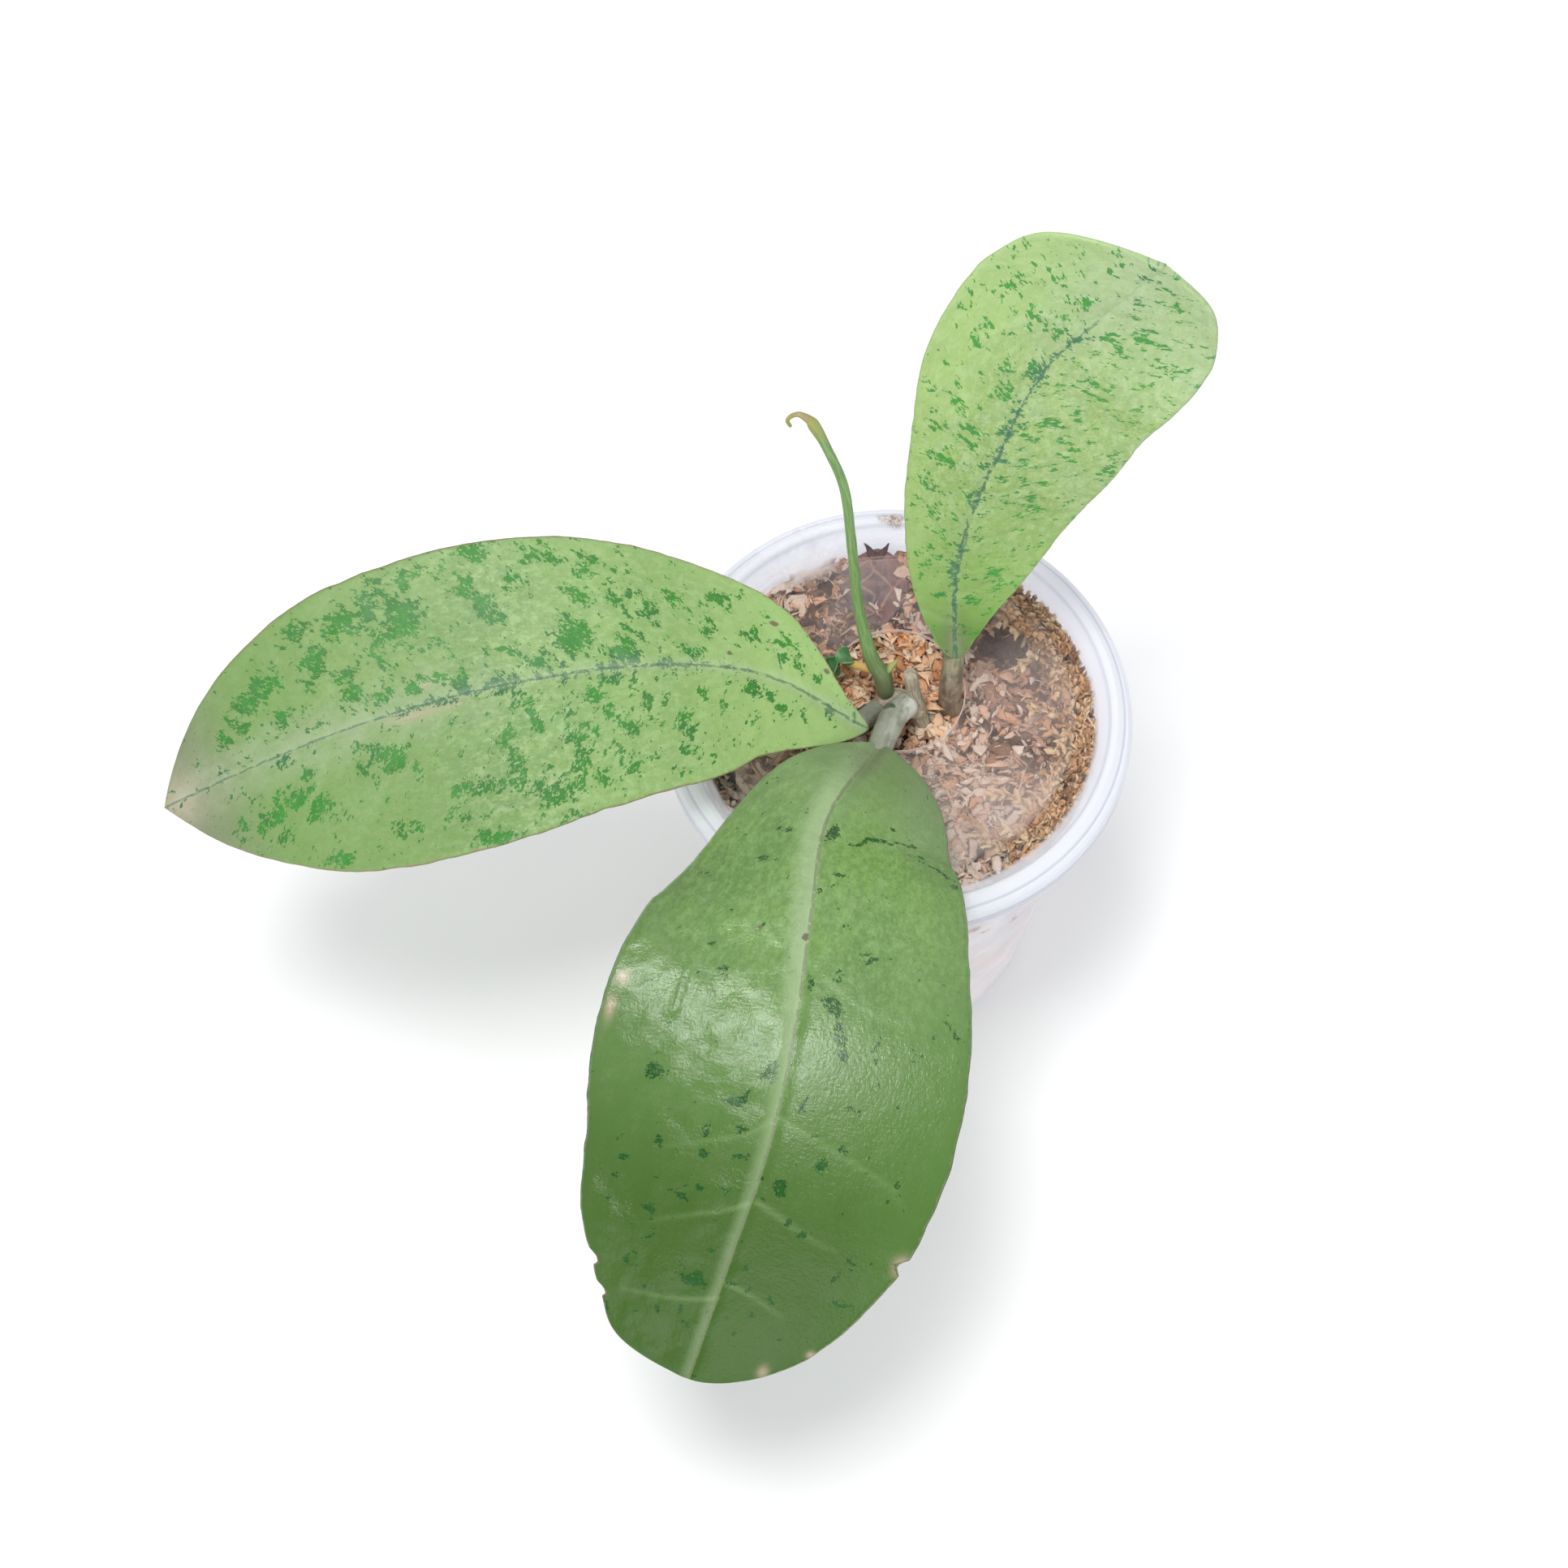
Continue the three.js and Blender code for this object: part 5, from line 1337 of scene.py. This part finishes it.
def make_stem():
    parts = [
        tube(STEM["main"], STEM["main_radius"], 24, 120, 0.09, 2),
        tube(STEM["knuckle"], STEM["knuckle_radius"], 28, 40, 0.14, 6),
        tube(STEM["side"], STEM["side_radius"], 22, 30, 0.12, 9),
    ]
    for i in range(ROOTS["count"]):
        parts.append(tube(root_path(i), [1.1, 0.9, 0.5], 12, 30, 0.1, 20 + i))
    points, faces, values = gathered(parts)
    piece("old_stem", points, faces, [bark_material()], "stem", {"place": values})


def make_shoot():
    parts = [
        tube(SHOOT["path"], SHOOT["radius"], 22, 260, 0.05, 4),
        tube(SHOOT["bract"], SHOOT["bract_radius"], 14, 16, 0.1, 5),
    ]
    points, faces, values = gathered(parts)
    piece("green_shoot", points, faces, [shoot_material()], "new_shoot", {"place": values})


def make_young_leaf():
    """A small curled leaf of two lobes round the end of its stalk."""
    rows, columns = 34, 80
    turn = np.linspace(YOUNG["from"], YOUNG["to"], columns)[None]
    share = (turn - YOUNG["from"]) / (YOUNG["to"] - YOUNG["from"])
    w = np.linspace(-1, 1, rows)[:, None]
    lobe = 0.3 + 0.75 * np.abs(np.sin(2 * math.pi * share * 0.98 + 0.06)) ** 0.6
    fade = np.sqrt(np.clip(1 - np.abs(w) ** 12, 0, 1))
    middle = (YOUNG["outer"] + YOUNG["inner"]) / 2 + bumps(turn * 1.3, w * 1.2 + 3, 7, 2) * 0.2
    middle = middle + 0.5 * w**2 * lobe
    half = (YOUNG["outer"] - YOUNG["inner"]) / 2 * (0.2 + 0.55 * fade)
    c, s = math.cos(YOUNG["lean"]), math.sin(YOUNG["lean"])
    sheets = []
    for r in (middle + half, middle - half):
        x, y, z = r * np.cos(turn), -w * lobe * YOUNG["length"] / 2, r * np.sin(turn)
        sheet = np.stack([x * c - y * s + YOUNG["x"], x * s + y * c + YOUNG["y"], z + YOUNG["z"]], -1)
        sheets.append(sheet.reshape(-1, 3))
    outer = np.arange(rows * columns).reshape(rows, columns)
    inner = outer + rows * columns
    faces = quads(outer[:-1, :-1], outer[1:, :-1], outer[1:, 1:], outer[:-1, 1:])
    faces += quads(inner[:-1, :-1], inner[:-1, 1:], inner[1:, 1:], inner[1:, :-1])
    faces += quads(outer[0, :-1], outer[0, 1:], inner[0, 1:], inner[0, :-1])
    faces += quads(outer[-1, 1:], outer[-1, :-1], inner[-1, :-1], inner[-1, 1:])
    faces += quads(outer[1:, 0], outer[:-1, 0], inner[:-1, 0], inner[1:, 0])
    faces += quads(outer[:-1, -1], outer[1:, -1], inner[1:, -1], inner[:-1, -1])
    place = np.stack(np.broadcast_arrays(np.abs(w), share, 1.0), -1).reshape(-1, 3)
    curl = (np.vstack(sheets), faces, np.vstack([place, place]))
    stalk_points, stalk_faces, values = tube(YOUNG["stalk"], YOUNG["radius"], 16, 30, 0.08, 8)
    points, faces, values = gathered([curl, (stalk_points, stalk_faces, np.zeros_like(values))])
    skin = young_material()
    young = piece("young_curl", points, faces, [skin], "young_leaf", {"place": values})
    face_outward(young.data)


DRY_MARKS = {
    "rib_width": [0.5, 0.4, 0.3], "rib_depth": [-0.3, -0.2, -0.1], "vein_depth": -0.2, "vein_width": 0.25,
    "veins": [[(2, 0), (5, 3.5), (7.5, 7)], [(4, -0.5), (8, -2.5), (11, -4.6)],
              [(9, 4.5), (12.5, 1.5), (16, 3)], [(9, 4.5), (6.5, 1), (3.5, 3)],
              [(12.5, 1.5), (9.5, -2), (6, -4)], [(13, 6), (15, 2), (16.5, -1)]],
    "ragged": 1.3, "wrinkle": 1.3, "crease": 0.5,
    "notches": [(5.5, 1, 2.2, 0.8), (9.5, 1, 2.4, 0.9), (7, -1, 2, 0.8), (12, -1, 1.5, 1)],
}


def make_dry_leaf():
    """A crumpled little blade with ragged spikes at its tip."""
    blade = blade_mesh(DRY, DRY_MARKS, 110, 60, 15, 0.5, 0.6)
    parts = [tube(path, [1.2, 0.9, 0.5, 0.15], 12, 24, 0.35, 40 + i) for i, path in enumerate(DRY["spikes"])]
    spikes, spike_faces, values = gathered(parts)
    beyond_blade = (20, 0, 2)
    points, faces, attributes = with_bar(*blade, (spikes, spike_faces, values + beyond_blade))
    piece("dead_leaf", points, faces, [dry_leaf_material()], "dry_leaf", attributes)


# ---------- the leaves' own marks and looks ----------
# A look holds a skin's colours and shares: "band" and "line" are the midrib's widths at foot and tip, and
# "drift" lists (a or b, from, to, share, colour) for tints that come in along (a) or across (b) the blade.
LEFT_LOOK = {
    "light": "819f5d", "deep": "6e9050", "mottle": 0.75, "cool": "748e64", "sunny": "8fab66",
    "grain": "628646", "pale": "9fb784", "cloudy": 0.55, "vein": "86a46a", "vein_share": 0.25,
    "yellow": "bba38e", "fleck": "2c6c24", "fleck_bright": "2c8016", "fleck_dark": "265c3c",
    "cells": 1.35, "scale": 0.4, "torn": 3.4, "crumbs": 0.9, "gather": 0.85, "level": 0.47, "dust": 0.65,
    "strength": 0.95,
    "band": (2.4, 1.4), "band_share": 0.3, "band_end": 1.0, "band_foot": 1.0, "band_colour": "a9bb98",
    "line": (0.42, 0.3), "line_share": 0.65, "line_to": 160, "line_colour": "3e5f4c", "wander": 0.14,
    "broken": 0.43, "margin": "8d7c5c", "margin_share": 0.7, "under": "b9cb9c",
    "bloom": "a2a990", "bloom_share": 0.45, "bloom_from": 60, "foot": "8a9a70", "foot_share": 0.4,
    "wrinkle": 0.5, "creases": 0.2, "rough": (0.42, 0.56), "shine": 0.4,
    "drift": [("b", -14, -30, 0.3, "92ae72"), ("a", 72, 104, 0.75, "70904e"), ("a", 84, 58, 0.5, "8aaa64"),
              ("a", 48, 20, 0.7, "94b36c"), ("a", 106, 130, 0.5, "688a48"), ("a", 128, 148, 0.9, "767c62")],
}

FRONT_LOOK = {
    **LEFT_LOOK,
    "light": "6f9248", "deep": "5d803e", "mottle": 0.5, "cool": "73955a", "sunny": "779c4c",
    "grain": "4d7234", "pale": "86a868", "cloudy": 0.35, "vein": "93b079", "vein_share": 0.28,
    "fleck": "0a420e", "fleck_bright": "0a5206", "fleck_dark": "0a3818", "cells": 1.9, "torn": 1.6,
    "gather": 0.95, "level": 0.5, "dust": 0.685, "strength": 0.92,
    # On the front leaf the pale band on the rib's b < 0 side is partly the rib's paler skin and partly a
    # painted highlight on the rib's slope that faces the light.
    "band": (6.5, 2.6), "band_share": 0.7, "band_end": 0.12, "band_foot": 0.25, "band_colour": "a6ba90",
    "line": (0.55, 0.36), "line_share": 0.7, "line_colour": "6c7654", "wander": 0.1, "broken": 0.4,
    "margin": "7c8a62", "margin_share": 0.5, "under": "98b07c",
    "bloom_share": 0.0, "foot": "5e6a48", "foot_share": 0.7,
    "creases": 0.35, "rough": (0.17, 0.31), "shine": 0.6, "shine_end": 0.3,
    # In the drift, the 4c6c34 tint beyond b = -12 is painted shade where the blade folds on that side.
    "drift": [("a", 34, 16, 0.4, "809a68"), ("a", 22, 2, 0.75, "66784f"), ("a", 52, 78, 0.85, "56783a"),
              ("a", 72, 118, 0.95, "385818"), ("b", -12, -36, 0.45, "4c6c34"), ("b", 16, 32, 0.45, "4f7432")],
}

BACK_LOOK = {
    **LEFT_LOOK,
    "light": "9fb874", "deep": "8daa60", "cool": "9ab282", "sunny": "a7be7a", "grain": "7e9e58",
    "pale": "b7c99a", "cloudy": 0.4, "vein": "9ab578",
    "fleck": "438a3a", "fleck_bright": "3a942c", "fleck_dark": "2c6a4c", "cells": 1.25, "crumbs": 1.2,
    "gather": 0.75, "dust": 0.635,
    "band": (2.0, 1.0), "band_share": 0.15, "band_colour": "b0c496",
    "line": (0.6, 0.35), "line_share": 0.75, "line_to": 92, "line_colour": "3a6454", "wander": 0.3,
    "broken": 0.44, "margin": "93b070", "margin_share": 0.3, "bloom_share": 0.2, "foot": "7c7e62",
    "foot_share": 0.6,
    "drift": [("a", 55, 12, 0.85, "7ba04e"), ("a", 18, 4, 0.7, "567e34"), ("a", 75, 110, 0.42, "b2c6a0"),
              ("b", 3, 18, 0.5, "a0bf70")],
}

# Two rows of fine dark specks on the front leaf, where its skin is creased.
FRONT_CREASE = [(30 - 0.285 * k, 5.5 + 0.5 * k, 0.3, 0.5, 1.3) for k in range(26)]
FRONT_CREASE += [(28 + 0.425 * k, 20 + 0.5 * k, 0.3, 0.5, 1.2) for k in range(16)]

FRONT_VEINS = [
    [(61.5, 4), (65, 9.5), (67.5, 17), (67.5, 24)], [(67.5, -0.5), (68.5, -4), (73, -11.5), (77, -22.5)],
    [(41, 0.5), (43, 5), (48, 13)], [(43, -1), (45, -7), (49, -16.5)],
    [(89, 0.5), (91, 7.5), (94, 17.5), (96, 24.5), (98.5, 27.5)],
    [(89.5, -0.5), (93, -4), (97, -11.5), (102, -20.5)],
    [(105.5, 1), (106.5, 5.5), (108.5, 12.5), (109, 18.5)],
    [(106.5, -0.5), (109, -4), (112.5, -10), (116.5, -17)],
    [(126, 0), (128, -4.5), (130, -11), (131.5, -18)], [(122.5, 0.5), (123, 5.5), (125, 13)],
]

# Marks are in (along, across) of the blade: veins and ridges are lines, brown and yellow are oval spots with
# a power, notches are (along, side, depth, half length) and rib_flecks (from, to, power, width).
LEFT_MARKS = {
    "veins": even_veins(LEFT["length"], 17, 0.55, 26), "vein_width": 0.8, "vein_depth": 0.14,
    "rib_width": [1.5, 1.3, 0.8], "rib_depth": [0.55, 0.35, 0.12], "wrinkle": 0.35, "ragged": 0.35,
    "flecks": LEFT_FLECKS,
    "brown": [(25, -11, 1.2, 0.8, 0.8), (32.5, -3, 0.8, 0.7, 0.8), (13.5, -6, 0.9, 0.7, 0.9),
              (19.5, -3, 2, 1, 0.4)],
    "yellow": [(94, -4, 2, 1.3, 0.4), (97, 1.6, 6, 1, 0.65), (90, 1.5, 3, 0.7, 0.5), (149, 0, 5, 5, 0.5)],
    "rib_flecks": [(28, 110, 0.5, 1.6)],
}

FRONT_MARKS = {
    "veins": FRONT_VEINS, "vein_width": 0.5, "vein_depth": 0.1, "flecks": FRONT_FLECKS + FRONT_CREASE,
    "rib_width": [1.7, 1.5, 0.9], "rib_depth": [0.8, 0.6, 0.25], "wrinkle": 0.55, "ragged": 0.35,
    "fleck_size": 1.15, "calm": 0.85,
    "ridges": [([(61.5, -22), (67, -23), (72.5, -23.5)], 0.35, 0.6)],
    "notches": [(128, -1, 1.3, 1.1), (133.5, -1, 1.1, 1), (108, 1, 1.3, 1.1)],
    "brown": [(52.5, -0.5, 1.2, 0.9, 0.9), (52, -9.5, 0.9, 0.8, 0.8), (28, 17.5, 0.9, 0.8, 0.8)],
    "yellow": [(108, 31, 1.8, 1.6, 1), (66, -34.5, 1.6, 1.2, 0.8), (73.5, -36, 3, 1, 0.6),
               (130.5, 20.5, 0.8, 0.8, 0.8), (137, 13, 1.5, 1, 0.6)],
}

BACK_MARKS = {
    "veins": even_veins(BACK["length"], 14, 0.6, 22), "vein_width": 0.8, "vein_depth": 0.16,
    "rib_width": [1.4, 1.2, 0.8], "rib_depth": [0.5, 0.35, 0.15], "wrinkle": 0.35, "ragged": 0.3,
    "flecks": BACK_FLECKS, "rib_flecks": [(3, 88, 0.55, 1.1)], "fleck_size": 1.0, "stretch": 0.55,
}


def make_leaves():
    pale_stalk = petiole_material("petiole_skin", "868a78", "a8aa9c", "8a9079", "727262")
    brown_stalk = petiole_material("back_petiole_skin", "6e6050", "a2947f", "7c745e", "52422f")
    leaf_piece("leaf_left", LEFT, LEFT_MARKS, LEFT_LOOK, pale_stalk, 3)
    leaf_piece("leaf_front", FRONT, FRONT_MARKS, FRONT_LOOK, pale_stalk, 7)
    leaf_piece("leaf_back", BACK, BACK_MARKS, BACK_LOOK, brown_stalk, 11)


# ---------- camera, light and floor ----------
def set_camera():
    data = bpy.data.cameras.new("photo_camera")
    data.sensor_fit, data.angle = "HORIZONTAL", math.radians(CAMERA["fov"])
    data.clip_start, data.clip_end = 0.05, 20
    e, roll = math.radians(CAMERA["elevation"]), math.radians(CAMERA["roll"])
    back = Vector((0, -math.cos(e), math.sin(e)))
    level, upright = Vector((1, 0, 0)), Vector((0, math.sin(e), math.cos(e)))
    right = level * math.cos(roll) + upright * math.sin(roll)
    up = upright * math.cos(roll) - level * math.sin(roll)
    camera = bpy.data.objects.new("photo_camera", data)
    pose = Matrix((right, up, back)).transposed().to_4x4()
    pose.translation = Vector(CAMERA["place"]) * MM
    camera.matrix_world = pose
    bpy.context.scene.collection.objects.link(camera)
    bpy.context.scene.camera = camera


# The lamps, in metres: name, place, what they face, size and power.
LAMPS = [
    ("key", (-0.22, -0.18, 1.4), (-0.03, -0.08, 0.1), (0.4, 0.4), 10),
    ("front", (-0.3, -1.5, 0.7), (0, 0, 0.12), (1.3, 1.0), 9),
    ("back", (0.5, 0.9, 1.3), (0, 0, 0.08), (1.2, 1.2), 3),
]


def softbox(name, place, target, size, power):
    data = bpy.data.lights.new(name, "AREA")
    data.shape, data.size, data.size_y = "RECTANGLE", size[0], size[1]
    data.energy = power
    light = bpy.data.objects.new(name, data)
    light.location = place
    light.rotation_euler = (Vector(target) - Vector(place)).to_track_quat("-Z", "Y").to_euler()
    bpy.context.scene.collection.objects.link(light)


def set_stage():
    scene = bpy.context.scene
    scene.view_settings.view_transform = "Standard"
    world = bpy.data.worlds.new("studio")
    scene.world = world
    world.use_nodes = True
    sky = world.node_tree.nodes["Background"]
    sky.inputs["Color"].default_value = (0.96, 0.98, 1.0, 1)
    sky.inputs["Strength"].default_value = 0.66
    for lamp in LAMPS:
        softbox(*lamp)
    g = Graph("pale_floor")
    cloud = g.noise(g.millimetres(), 0.01, 3)
    skin = g.mix(g.stretch(cloud, 0.3, 0.7), "f4f4f4", "f7f7f7")
    reach = 3000
    corners = [(-reach, -reach, 0), (reach, -reach, 0), (reach, reach, 0), (-reach, reach, 0)]
    floor = make_object("floor", corners, [(0, 1, 2, 3)], [g.done(g.surface(skin, 0.9))])


make_cup()
make_lid()
make_bed()
make_husk()
make_hole_curls()
make_moss()
make_stem()
make_shoot()
make_young_leaf()
make_dry_leaf()
make_leaves()
set_stage()
set_camera()
